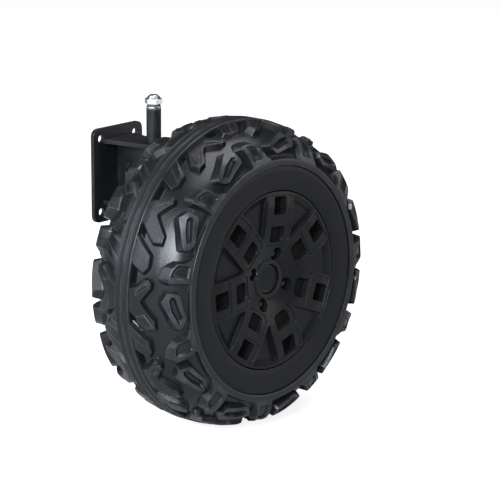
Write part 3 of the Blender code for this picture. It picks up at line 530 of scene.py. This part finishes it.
tongueSpine = [(-0.6, 62.4)] * 4 + [(5.8, 69.2)] * 5 + [(-0.6, 62.4)]
fangFoot = [(-9.4, 46.5), (-12.6, 48.6), (-14.2, 51.2), (-17.0, 60.5), (-17.7, 70.0), (-19.6, 77.0),
            (-23.0, 81.0), (-23.4, 86.5), (-7.9, 86.5), (-7.3, 66.0), (-6.9, 55.5), (-8.3, 48.5)]
fangTop = [(-9.6, 56.2), (-12.0, 57.3), (-14.2, 59.4), (-16.3, 63.6), (-16.9, 70.5), (-18.6, 77.4),
           (-21.3, 82.0), (-21.6, 87.5), (-9.0, 87.5), (-8.5, 66.5), (-8.1, 58.2), (-8.7, 56.7)]
fangPanel = [(-10.9, 58.9), (-12.2, 59.6), (-13.8, 61.0), (-15.6, 64.6), (-16.0, 70.5), (-16.2, 74.5),
             (-16.3, 77.4), (-15.9, 78.3), (-11.0, 78.3), (-10.5, 76.5), (-10.4, 62.0), (-10.5, 59.9)]
fangFloor = [(-11.2, 60.1), (-12.3, 60.8), (-13.6, 62.0), (-15.1, 65.0), (-15.5, 70.5), (-15.7, 74.2),
             (-15.7, 76.6), (-15.4, 77.2), (-11.5, 77.2), (-11.1, 76.0), (-11.0, 62.6), (-11.0, 60.9)]
fangSpine = [(-12.9, 65.0)] * 4 + [(-13.4, 74.5)] * 6 + [(-12.9, 65.0)] * 2
forkLeftPad = [(-3.9, 20.2), (-6.9, 31.2), (-7.3, 34.6), (-6.4, 37.4), (-5.6, 36.6), (-1.9, 20.2)]
forkRightPad = [(5.7, 20.6), (4.8, 31.0), (8.9, 41.2), (9.8, 40.8), (10.0, 33.4)]
barPad = [(9.6, 9.6), (15.4, 30.2), (16.1, 31.6), (19.3, 31.6), (13.9, 9.6)]

degreeWidth = math.radians(1) * tyre["lugRadius"]


def spreadCorners(corners, distance, scale=(degreeWidth, 1)):
    # Corners moved outwards along their mitre: (n1 + n2) / (1 + n1.n2), at most 2.4 times the distance.
    corners = np.asarray(corners, float) * scale
    ahead = np.roll(corners, -1, 0) - corners
    ahead /= np.maximum(np.linalg.norm(ahead, axis=1, keepdims=True), 1e-9)
    area = np.cross(corners, np.roll(corners, -1, 0)).sum()
    normal = np.stack([ahead[:, 1], -ahead[:, 0]], -1) * np.sign(area)
    before = np.roll(normal, 1, 0)
    mitre = (normal + before) / np.maximum(1 + (normal * before).sum(1), 0.35)[:, None]
    return (corners + mitre * distance) / scale


def roundedRing(corners, values, reach, cuts=4, runs=3, scale=(degreeWidth, 1)):
    # A closed outline with rounded corners: each corner a quadratic curve, each side split in equal runs.
    corners = np.asarray(corners, float) * scale
    column = np.broadcast_to(np.asarray(values, float).reshape(-1, 1), (len(corners), 1))
    data = np.concatenate([corners, column], 1)
    after = np.roll(data, -1, 0)
    side = np.maximum(np.linalg.norm(after[:, :2] - data[:, :2], axis=1), 1e-6)
    shareOut = np.minimum(reach / side, 0.4)[:, None]
    leave = data + (after - data) * shareOut
    shareIn = np.minimum(reach / np.roll(side, 1), 0.4)[:, None]
    arrive = data + (np.roll(data, 1, 0) - data) * shareIn
    t = np.linspace(0, 1, cuts)[None, :, None]
    bend = (1 - t) ** 2 * arrive[:, None] + 2 * t * (1 - t) * data[:, None] + t**2 * leave[:, None]
    f = (np.arange(1, runs) / runs)[None, :, None]
    straight = leave[:, None] + (np.roll(arrive, -1, 0) - leave)[:, None] * f
    ring = np.concatenate([bend, straight], 1).reshape(-1, 3)
    return ring / [*scale, 1]


def lugRings(rows):
    # Rows of (corners, lift, rounding), from the root up the wall and in to the spine,
    # as one array of rings of (turn, along, lift).
    return np.stack([roundedRing(corners, lift, reach) for corners, lift, reach in rows])


def between(first, second, share):
    return np.asarray(first, float) * (1 - share) + np.asarray(second, float) * share


def plainLug(top, spine, lift):
    draft = tyre["draft"]
    inner = spreadCorners(top, -0.28)
    rows = [
        (spreadCorners(top, draft + 1.6), tyre["lugRoot"], 1.6),
        (spreadCorners(top, draft + 1.3), -0.5, 1.6),  # foot, with a small fillet
        (spreadCorners(top, draft + 0.35), 0.3, 1.4),
        (spreadCorners(top, draft - 0.1), 1.1, 1.2),
        (spreadCorners(top, 0.3), lift - 0.5, 0.9),  # narrow rounded top edge
        (spreadCorners(top, 0.08), lift - 0.12, 0.85),
        (inner, lift, 0.8),
    ]
    rows += [(between(inner, spine, share), lift, 0.8 * (1 - share)) for share in (0.1, 0.5, 0.8, 1.0)]
    return lugRings(rows)


def padLug(top, lift):
    # A thin raised pad on a lug's top.
    inner = spreadCorners(top, -0.3)
    rows = [
        (spreadCorners(top, 0.25), lift - 1.6, 0.8),
        (spreadCorners(top, 0.1), lift - 0.3, 0.8),
        (inner, lift, 0.7),
    ]
    centre = np.broadcast_to(np.mean(np.asarray(top, float), 0), (len(top), 2))
    rows += [(between(inner, centre, share), lift, 0.7 * (1 - share)) for share in (0.5, 1.0)]
    return lugRings(rows)


def tongueLug():
    # 'edge' is the height of the foot's corners, where the sloped wall starts.
    high = tyre["lugHeight"]
    edge = np.array([1.4, 1.4, 0.6, 0.6, 0.4, 0.6, 0.6, 0.6, 1.2, 1.4])
    return lugRings([
        (spreadCorners(tongueFoot, 1.6), tyre["steppedRoot"], 1.4),
        (spreadCorners(tongueFoot, 1.0), edge - 1.6, 1.3),
        (spreadCorners(tongueFoot, 0.2), edge - 0.5, 1.2),
        (tongueFoot, edge, 1.1),
        (between(tongueFoot, tongueTop, 0.92), high - 0.4, 1.0),
        (spreadCorners(tongueTop, 0.05), high - 0.1, 0.9),
        (spreadCorners(tongueTop, -0.3), high, 0.9),
        (spreadCorners(tongueSlot, 0.3), high, 0.9),
        (spreadCorners(tongueSlot, 0.05), high - 0.15, 0.9),
        (spreadCorners(tongueFloor, 0.2), high - 2.0, 0.8),
        (spreadCorners(tongueFloor, -0.1), high - 2.3, 0.7),
        (between(tongueFloor, tongueSpine, 0.6), high - 2.4, 0.4),
        (tongueSpine, high - 2.4, 0),
    ])


def fangLug():
    # 'edge' as in the tongue
    high = tyre["lugHeight"]
    edge = np.array([2.2, 2.4, 2.4, 1.4, 0.6, 0.4, 0.3, 0.3, 0.3, 0.3, 0.8, 1.6])
    return lugRings([
        (spreadCorners(fangFoot, 1.8), tyre["steppedRoot"], 1.6),
        (spreadCorners(fangFoot, 1.2), edge - 2.6, 1.5),
        (spreadCorners(fangFoot, 0.3), edge - 0.5, 1.3),
        (fangFoot, edge, 1.2),
        (between(fangFoot, fangTop, 0.93), high - 0.4, 1.1),
        (spreadCorners(fangTop, 0.05), high - 0.1, 1.0),
        (spreadCorners(fangTop, -0.3), high, 1.0),
        (spreadCorners(fangPanel, 0.3), high, 0.9),
        (spreadCorners(fangPanel, 0.05), high - 0.12, 0.9),
        (spreadCorners(fangFloor, 0.15), high - 1.1, 0.8),
        (spreadCorners(fangFloor, -0.1), high - 1.25, 0.7),
        (between(fangFloor, fangSpine, 0.6), high - 1.3, 0.4),
        (fangSpine, high - 1.3, 0),
    ])


def partingWave(turn):
    # How far the parting line wanders from the rib's middle, in mm: a sum of sines of the turn.
    around = np.radians(turn)
    return sum(depth * np.sin(waves * around + first) for depth, waves, first in tyre["partingWaves"])


def carcassRows():
    # The half's closed section as (radius, height) in mm,
    # from the parting face over rib, groove and side to the seat.
    bore, gap, flute = tyre["boreRadius"], tyre["partingGap"], tyre["fluteDepth"]
    rib, half = tyre["ribRadius"], tyre["ribHalfWidth"]
    ribTop = [(bore, gap), (rib - 4, gap), (rib - 0.9, gap), (rib - 0.2, 0.55), (rib, 0.9), (rib, 1.7),
              (rib - flute, 2.3), (rib - flute - 0.05, 5), (rib - flute, half - 2.5), (rib, half - 1.9),
              (rib, half - 1.1), (rib - 0.2, half - 0.45), (rib - 0.8, half - 0.05), (rib - 6, half + 0.5)]
    floor, shoulder = tyre["grooveFloor"], tyre["crownRadius"] - 1.3
    grooveEnd = half + tyre["grooveWidth"]
    groove = [(floor + 0.6, half + 1.0), (floor, half + 1.7), (floor, grooveEnd - 1.1),
              (floor + 0.6, grooveEnd - 0.5), (shoulder - 0.9, grooveEnd + 0.1),
              (shoulder - 0.2, grooveEnd + 0.35)]
    bead, face, seat = tyre["beadRadius"], tyre["beadFace"], tyre["seat"]
    along = np.linspace(grooveEnd + 1.3, tyre["sideEnd"], tyre["sideSteps"])
    sideLift = tyre["sideLift"] * smoothStep(along, *tyre["sideRise"])
    radius, height = sectionPoint(np.interp(along, sectionLength, sectionAngle), sideLift)
    keep = (height > grooveEnd + 0.2) & (radius > bead + 0.4)
    side = np.stack([radius, height], -1)[keep]
    end = side[-1, 1]
    inner = tyre["ringRadius"] + 0.45
    ring = [(bead + 0.3, end + 0.5), (bead, end + 1.0), (bead - 0.2, face - 0.9), (bead - 0.7, face - 0.25),
            (bead - 1.6, face), (bead - 4.5, face), (inner + 0.8, face), (inner + 0.2, face - 0.3),
            (inner, face - 0.9), (inner, seat), (bore, seat)]
    return np.concatenate([ribTop, groove, side, ring])


def lugShapes():
    lift = tyre["lugHeight"]
    return [
        plainLug(forkTop, forkSpine, lift - tyre["forkSunk"]),
        plainLug(barTop, barSpine, lift - tyre["barSunk"]),
        tongueLug(),
        fangLug(),
        padLug(forkLeftPad, lift),
        padLug(forkRightPad, lift),
        padLug(barPad, lift + tyre["barPadRaised"]),
    ]


def tyreHalf(name, node, side):
    rows = carcassRows()
    columns = tyre["pitches"] * tyre["columnsPerPitch"]
    around = np.radians(tyre["notchTurn"] + side * np.linspace(0, 360, columns, endpoint=False))
    radius = np.repeat(rows[:, :1], columns, 1)
    height = np.repeat(rows[:, 1:], columns, 1)
    near = np.clip(1 - (height - tyre["partingGap"]) / tyre["waveFade"], 0, 1)
    fade = near * (radius > tyre["waveRadius"])
    height = height + side * fade * partingWave(np.degrees(around))[None, :]
    points = onWheel(radius, height, around, side)
    allPoints, allFaces = [points], [gridFaces(len(rows), columns, closeRows=True)]
    shapes = lugShapes()
    used = len(points)
    for pitch in range(tyre["pitches"]):
        for rings in shapes:
            turned = rings[..., 0] + 360 * pitch / tyre["pitches"]
            placed = tyrePoints(turned, rings[..., 1], rings[..., 2], side)
            allPoints.append(placed)
            allFaces.append(gridFaces(rings.shape[0], rings.shape[1], start=used))
            used += len(placed)
    mesh = bpy.data.meshes.new(name)
    mesh.from_pydata(np.concatenate(allPoints).tolist(), [], np.concatenate(allFaces).tolist())
    closeMesh(mesh, tyre["weld"])
    finishPiece(name, mesh, "tyre_plastic", "wheel", (node,), tyre["sharpAngle"])
    print(name, len(mesh.polygons), "faces")


tyreHalf("outerTreadHalf", "tyre_outer_half", 1)
tyreHalf("innerTreadHalf", "tyre_inner_half", -1)

# Rim ring and centre cap, sized from the frame
rimRing = {
    "bore": 101.4,  # all in mm
    "face": (66.0, 66.9, 67.4, 67.55, 67.2),  # heights from the bore to the outer edge
    "faceEnds": (6.0, 5.0),  # how far the second and the fourth height lie from the edges
    "edgeReach": 0.9,
}
centreCap = {
    "lip": (1.4, 3.2),  # how far in from the cap's edge its raised lip starts to fall, and ends
    "lipHeight": 0.5,
    "chamfer": 0.6,
    "edgeReach": 0.6,
}


def heightOf(y):
    # Height over the tyre's middle plane, outboard positive, of a place on the Y axis.
    return wheelCentre[1] - y


def ringSizes(node):
    low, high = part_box(node)
    return (high.x - low.x) / 2, heightOf(high.y), heightOf(low.y)


def buildRimRing():
    radius, back = ringSizes("rim_ring")[:2]
    bore = rimRing["bore"] * mm
    nearBore, nearEdge = [distance * mm for distance in rimRing["faceEnds"]]
    places = [bore, bore + nearBore, (bore + radius) / 2, radius - nearEdge, radius]
    heights = [height * mm for height in rimRing["face"]]
    profile = [(bore, back), *zip(places, heights), (radius, back)]
    turnedPiece("smoothRimRing", profile, "rim_ring", steps=192, reach=rimRing["edgeReach"] * mm, cuts=5)


def buildCentreCap():
    radius, back, face = ringSizes("centre_cap")
    lipTop, lipFoot = [radius - distance * mm for distance in centreCap["lip"]]
    floor = face - centreCap["lipHeight"] * mm
    side = face - centreCap["chamfer"] * mm
    profile = [(0, back), (radius, back), (radius, side), (lipTop, face), (lipFoot, floor), (0, floor)]
    turnedPiece("hubCap", profile, "centre_cap", steps=96, reach=centreCap["edgeReach"] * mm, cuts=3)


# Spoked disc: a face of height over place, in mm, in which every wall leans
disc = {
    "face": ([22.0, 30.0, 51.0, 84.0, 97.5, 102.0], [58.2, 60.8, 66.5, 68.2, 66.1, 65.7]),  # radii, heights
    "blend": 3.5,
    "edgeRadius": 100.5,
    "edgeLevel": 65.0,
    "spokes": 7,
    "firstSpoke": 82.6,
    "spokeHalf": 21.8,
    "panel": (92.0, 98.0, 61.8, 0.8),  # floor radius, top radius, floor level, draft of the sides
    "outerWindow": ((74.0, 94.0), 9.9, 55.9),  # from and to along the spoke, half width, floor level
    "innerWindow": ((42.2, 60.6), 11.0, 60.2),
    "windowDraft": 0.6,
    "inset": 0.8,  # how deep the spokes' face lies between its raised borders
    "border": 2.8,
    "insetMargins": (3.2, 1.6, 3.0),  # past the outer window's two ends and the inner window's outer end
    "insetFoot": (46.5, 38.6, 14.0),  # where the inner inset starts to narrow and ends, its half width there
    "screwCircle": (29.6, 69.0, 7.3, 52.8),  # radius, first turn, hole radius, seat level
    "screws": 4,
    "wellColumns": 36,
    "collar": (17.1, 21.9, 59.4),  # bore, outer radius, face
    "collarColumns": 96,
    "back": ((97.9, 58.5), (97.9, 53.6), (39.0, 53.6), (39.0, 48.8), (15.0, 48.8), (15.0, 54.4)),
    "pointSpacing": 2.2,
    "rowSpacing": 0.866,  # of the point spacing, for even triangles
    "columns": 192,
    "pointMerge": 1e-5,
    "weld": 4e-6,  # m
    "sharpAngle": 38,
}
flatScale = (1, 1)


def faceHeight(place):
    # The spokes' face: straight lines through the listed heights, averaged over 'blend' mm each way
    radius = np.hypot(place[..., 0], place[..., 1])
    steps = np.linspace(-1, 1, 9) * disc["blend"]
    return np.mean([np.interp(radius + step, *disc["face"]) for step in steps], 0)


def rotated(points, degrees):
    c, s = math.cos(math.radians(degrees)), math.sin(math.radians(degrees))
    return np.asarray(points) @ np.array([[c, s], [-s, c]])


def panelCorners(half, radius, steps=11):
    # Apex where two spokes meet, then the arc between them
    share = math.pi / disc["spokes"]
    reach = math.asin(half / radius)
    apex = half / math.sin(share)
    around = np.linspace(reach, 2 * share - reach, steps)
    return np.concatenate([[[apex * math.cos(share), apex * math.sin(share)]],
                           radius * np.stack([np.cos(around), np.sin(around)], -1)])


def pocket(top, floor, level, reach, sunk=0.0, runs=5):
    # Loops of (points, height) from the rounded lip of a pocket down its wall, the last one round its floor
    # A row is an outline, how far out of it the loop lies, its level (None on the face) and a height or drop.
    rows = [(top, 0.42, None, 0.0), (top, 0.16, None, 0.06), (top, 0.0, None, 0.38),
            (floor, 0.14, level, 0.5), (floor, 0.0, level, 0.14), (floor, -0.4, level, 0.0)]
    loops = []
    for corners, offset, height, drop in rows:
        ring = roundedRing(spreadCorners(corners, offset, flatScale), 0, reach, 5, runs, flatScale)[:, :2]
        heights = faceHeight(ring) - sunk - drop if height is None else np.full(len(ring), height + drop)
        loops.append((ring, heights))
    return loops


def insetFace(corners, reach):
    # The spokes' face between its raised borders: a lip and a low step
    loops = []
    for offset, drop in ((0.3, 0.0), (0.05, 0.06), (-0.2, disc["inset"] - 0.06), (-0.45, disc["inset"])):
        ring = roundedRing(spreadCorners(corners, offset, flatScale), 0, reach, 4, 6, flatScale)[:, :2]
        loops.append((ring, faceHeight(ring) - drop))
    return loops


def box(low, high, half):
    return np.array([(high, -half), (high, half), (low, half), (low, -half)], float)


def circleLoop(radius, height, columns, centre=(0, 0)):
    # A height of None follows the spokes' face; otherwise it is the loop's own
    around = np.linspace(0, 2 * np.pi, columns, endpoint=False)
    ring = np.stack([np.cos(around), np.sin(around)], -1) * radius + centre
    return ring, faceHeight(ring) if height is None else np.full(columns, height)


def insideOf(points, loop):
    # Even-odd rule: how often a ray to the right crosses the loop
    ahead = np.roll(loop, -1, 0)
    x, y = points[:, None, 0], points[:, None, 1]
    above = (loop[None, :, 1] > y) != (ahead[None, :, 1] > y)
    rise = np.where(ahead[:, 1] == loop[:, 1], 1e-9, ahead[:, 1] - loop[:, 1])
    cross = loop[None, :, 0] + (y - loop[None, :, 1]) * ((ahead - loop)[None, :, 0] / rise[None, :])
    return (above & (x < cross)).sum(1) % 2 == 1


def discPockets():
    # Every pocket as (loops, level of its floor); None leaves the floor on the spokes' inset face
    half, draft = disc["spokeHalf"], disc["windowDraft"]
    floorRadius, topRadius, panelLevel, panelDraft = disc["panel"]
    (outerLow, outerHigh), outerHalf, outerLevel = disc["outerWindow"]
    (innerLow, innerHigh), innerHalf, innerLevel = disc["innerWindow"]
    outerWindow = box(outerLow, outerHigh, outerHalf)
    innerWindow = box(innerLow, innerHigh, innerHalf)
    outerFloor = spreadCorners(outerWindow, -draft, flatScale)
    innerFloor = spreadCorners(innerWindow, -draft, flatScale)
    inner = half - disc["border"]
    inwards, outwards, pastInner = disc["insetMargins"]
    waist, foot, footHalf = disc["insetFoot"]
    outerInset = box(outerLow - inwards, outerHigh + outwards, inner)
    innerInset = [(innerHigh + pastInner, -inner), (innerHigh + pastInner, inner), (waist, inner),
                  (foot, footHalf), (foot, -footHalf), (waist, -inner)]
    panelTop = panelCorners(half, topRadius)
    panelFloor = panelCorners(half + panelDraft, floorRadius)
    panelReach = np.array([1.6] + [1.4] + [2.0] * 9 + [1.4])
    innerReach = np.array([2.2, 2.2, 6.5, 6.5])
    shapes = [
        (insetFace(outerInset, 2.0), None),
        (insetFace(innerInset, 2.5), None),
        (pocket(panelTop, panelFloor, panelLevel, panelReach), panelLevel),
        (pocket(outerWindow, outerFloor, outerLevel, 2.2, disc["inset"]), outerLevel),
        (pocket(innerWindow, innerFloor, innerLevel, innerReach, disc["inset"]), innerLevel),
    ]
    found = []
    for number in range(disc["spokes"]):
        turn = disc["firstSpoke"] + 360 * number / disc["spokes"]
        for loops, level in shapes:
            found.append(([(rotated(ring, turn), height) for ring, height in loops], level))
    for number in range(disc["screws"]):
        found.append(screwWell(number))
    return found


def screwWell(number):
    radius, first, hole, seat = disc["screwCircle"]
    columns = disc["wellColumns"]
    centre = rotated([(radius, 0)], first + 360 * number / disc["screws"])[0]
    loops = [circleLoop(hole + 0.35, None, columns, centre)]
    for grow, drop in ((0.12, 0.07), (0.0, 0.4)):
        ring, height = circleLoop(hole + grow, None, columns, centre)
        loops.append((ring, height - drop))
    loops.append(circleLoop(hole - 0.12, seat + 0.5, columns, centre))
    loops.append(circleLoop(hole - 0.5, seat, columns, centre))
    return loops, seat


def gridPoints(pockets):
    # Points between the loops, on a triangular grid: on the face, an inset face or a floor, never on a wall
    step, edge = disc["pointSpacing"], disc["edgeRadius"]
    rows = np.arange(-edge, edge, step * disc["rowSpacing"])
    columns = np.arange(-edge, edge, step)
    x, y = np.meshgrid(columns, rows)
    x = x + (np.arange(len(rows)) % 2)[:, None] * step / 2
    points = np.stack([x, y], -1).reshape(-1, 2)
    radius = np.hypot(points[:, 0], points[:, 1])
    points = points[(radius < edge - 2.0) & (radius > disc["collar"][1] + 1.5)]
    face = faceHeight(points)
    heights, keep = face, np.ones(len(points), bool)
    for loops, level in pockets:
        within = insideOf(points, spreadLoop(loops[0][0], 0.5))
        clear = insideOf(points, spreadLoop(loops[-1][0], -0.5))
        heights = np.where(clear, face - disc["inset"] if level is None else level, heights)
        keep = np.where(within, clear, keep)
    return points[keep], heights[keep]


def spreadLoop(loop, distance):
    centre = loop.mean(0)
    away = loop - centre
    return loop + away / np.linalg.norm(away, axis=1, keepdims=True) * distance


def rimAndCollarLoops():
    # The disc's rounded outer edge, the collar's outer wall and its rounded bore
    edge, level, columns = disc["edgeRadius"], disc["edgeLevel"], disc["columns"]
    bore, collar, face = disc["collar"]
    outer = [(edge, level), (edge - 0.12, level + 0.36), (edge - 0.45, level + 0.62), (edge - 0.9, None)]
    wall = [(collar + 0.6, None), (collar + 0.3, face - 0.65), (collar + 0.1, face - 0.4),
            (collar - 0.12, face - 0.1), (collar - 0.5, face)]
    mouth = [(bore + 0.5, face), (bore + 0.14, face - 0.12), (bore, face - 0.45)]
    loops = [circleLoop(radius, height, columns) for radius, height in outer]
    loops += [circleLoop(radius, height, disc["collarColumns"]) for radius, height in wall]
    return loops + [circleLoop(radius, height, columns) for radius, height in mouth]


def spokedDisc():
    edge, bore, columns = disc["edgeRadius"], disc["collar"][0], disc["columns"]
    pockets = discPockets()
    loops = rimAndCollarLoops()
    edgeTop, boreTop = loops[0][1][0], loops[-1][1][0]
    loops += [loop for pocketLoops, level in pockets for loop in pocketLoops]
    fieldPoints, fieldHeights = gridPoints(pockets)
    places = np.concatenate([ring for ring, height in loops] + [fieldPoints])
    heights = np.concatenate([height for ring, height in loops] + [fieldHeights])
    edges, start = [], 0
    for ring, height in loops:
        count = len(ring)
        edges += [(start + i, start + (i + 1) % count) for i in range(count)]
        start += count
    field = [Vector(place) for place in places]
    points, _, faces, source, _, _ = delaunay_2d_cdt(field, edges, [], 0, disc["pointMerge"], True)
    levels = np.array([heights[ids[0]] if ids else 0.0 for ids in source])
    points = np.array([tuple(p) for p in points])
    faces = np.array(faces)
    middle = points[faces].mean(1)
    faces = faces[np.hypot(middle[:, 0], middle[:, 1]) > bore + 0.02]  # none over the bore
    top = np.stack([points[:, 0], -levels, points[:, 1]], -1)
    back = disc["back"]
    back = [(edge, edgeTop), (edge, back[0][1]), *back, (bore, back[-1][1]), (bore, boreTop)]
    around = np.linspace(0, 2 * np.pi, columns, endpoint=False)
    under = [np.stack([r * np.cos(around), np.full(columns, -h), r * np.sin(around)], -1) for r, h in back]
    corners = np.concatenate([top, *under]) * mm + wheelCentre
    allFaces = faces.tolist() + gridFaces(len(back), columns, start=len(top)).tolist()
    mesh = bpy.data.meshes.new("sevenSpokeDisc")
    mesh.from_pydata(corners.tolist(), [], allFaces)
    closeMesh(mesh, disc["weld"])
    finishPiece("sevenSpokeDisc", mesh, "wheel_plastic", "wheel", ("spoke_disc",), disc["sharpAngle"])
    print("sevenSpokeDisc", len(mesh.polygons), "faces")


buildRimRing()
buildCentreCap()
spokedDisc()

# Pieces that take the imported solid's own shape, with rounded edges
edgedNode("wheel_drum", "hubDrum", "wheel_plastic", "wheel", 0.5 * mm)
for number in (1, 2, 3, 4):
    edgedNode("disc_screw_%d" % number, "discScrew%d" % number, "dark_steel", "wheel", 0.3 * mm)
edgedNode("hub_bush_outer", "outerHubBush", "nylon", "wheel", 0.3 * mm)
edgedNode("hub_bush_inner", "innerHubBush", "nylon", "wheel", 0.3 * mm)
print("wheel dressed")

# Knuckle and bracket: node, name, finish and width of the rounded edges in mm
for node, name, slotName, edge in (
    ("stub_axle", "stubAxle", "bright_steel", 0.3),
    ("axle_spacer", "axleSpacer", "bright_steel", 0.3),
    ("axle_washer", "axleWasher", "bright_steel", 0.3),
    ("axle_nut", "axleNut", "bright_steel", 0.5),
    ("steering_knuckle", "steeringKnuckle", "black_steel", 0.9),
):
    edgedNode(node, name, slotName, "knuckle", edge * mm)
for node, name, slotName, edge in (
    ("kingpin_bolt", "kingpinBolt", "bright_steel", 0.5),
    ("kingpin_washer", "kingpinWasher", "bright_steel", 0.4),
    ("kingpin_spacer", "kingpinSpacer", "nylon", 0.3),
    ("kingpin_nut", "kingpinNut", "bright_steel", 0.6),
    ("thrust_washer", "thrustWasher", "nylon", 0.3),
    ("kingpin_sleeve", "kingpinSleeve", "black_steel", 0.5),
    ("sleeve_bush_upper", "upperSleeveBush", "nylon", 0.3),
    ("sleeve_bush_lower", "lowerSleeveBush", "nylon", 0.3),
    ("bracket_upper", "upperBracket", "black_steel", 0.7),
    ("bracket_lower", "lowerBracket", "black_steel", 0.7),
    ("bracket_web", "bracketWeb", "black_steel", 0.7),
    ("mounting_plate", "mountingPlate", "black_steel", 0.7),
):
    edgedNode(node, name, slotName, frame["nodes"][node]["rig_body"], edge * mm)
print("knuckle and bracket dressed")

# Studio
white = (1, 1, 1)
coolWhite = (0.86, 0.92, 1.0)
studio = {
    "worldLight": 0.05,
    "floorLevel": -263.3 * mm,
    "floorReach": 6,
    "floorColour": (0.4, 0.4, 0.4, 1),
    "floorRoughness": 0.9,
    "floorGlow": 0.84,  # only as the camera sees it
    "lamps": {  # place and size in m, power in W, colour
        "keyLight": ((-2.0, -1.25, 0.95), 1.1, 125.0, coolWhite),
        "topLight": ((0.4, -0.4, 2.2), 1.8, 52.0, white),
        "sideLight": ((-0.8, -2.6, 0.9), 1.2, 6.0, white),
        "discLight": ((1.7, -1.75, 0.15), 1.0, 8.0, white),
        "treadLight": ((-2.2, 0.65, 1.05), 2.1, 65.0, coolWhite),
    },
}


def seenStrength(tree, seen, unseen):
    # seen = strength for camera and transmission rays; unseen = strength of the light on the object
    path = addNode(tree, "ShaderNodeLightPath")
    either = calculate(tree, "MAXIMUM", path.outputs["Is Camera Ray"], path.outputs["Is Transmission Ray"])
    return ramp(tree, either, (0.0, 1.0), (unseen, seen))


def buildWorld():
    world = bpy.data.worlds.new("studio")
    bpy.context.scene.world = world
    world.use_nodes = True
    tree = world.node_tree
    background = tree.nodes["Background"]
    background.inputs["Color"].default_value = (1, 1, 1, 1)
    tree.links.new(seenStrength(tree, 1.0, studio["worldLight"]), background.inputs["Strength"])


def buildFloor():
    level, reach = studio["floorLevel"], studio["floorReach"]
    corners = [(x * reach, y * reach, level) for x, y in ((-1, -1), (1, -1), (1, 1), (-1, 1))]
    mesh = bpy.data.meshes.new("floor")
    mesh.from_pydata(corners, [], [(0, 1, 2, 3)])
    floor = bpy.data.objects.new("floor", mesh)
    bpy.context.scene.collection.objects.link(floor)
    paint = bpy.data.materials.new("paleFloor")
    paint.use_nodes = True
    tree = paint.node_tree
    shader = tree.nodes["Principled BSDF"]
    shader.inputs["Base Color"].default_value = studio["floorColour"]
    shader.inputs["Roughness"].default_value = studio["floorRoughness"]
    shader.inputs["Emission Color"].default_value = (1, 1, 1, 1)
    tree.links.new(seenStrength(tree, studio["floorGlow"], 0.0), shader.inputs["Emission Strength"])
    mesh.materials.append(paint)


def areaLight(name, place, size, power, colour):
    # A square lamp that looks at the wheel's middle.
    data = bpy.data.lights.new(name, "AREA")
    data.color = colour
    data.shape = "SQUARE"
    data.size = size
    data.energy = power
    light = bpy.data.objects.new(name, data)
    light.location = place
    light.rotation_euler = (Vector(wheelCentre) - Vector(place)).to_track_quat("-Z", "Y").to_euler()
    bpy.context.scene.collection.objects.link(light)


buildWorld()
buildFloor()
for name, lamp in studio["lamps"].items():
    areaLight(name, *lamp)
bpy.context.scene.view_settings.view_transform = "Standard"
print("studio built")
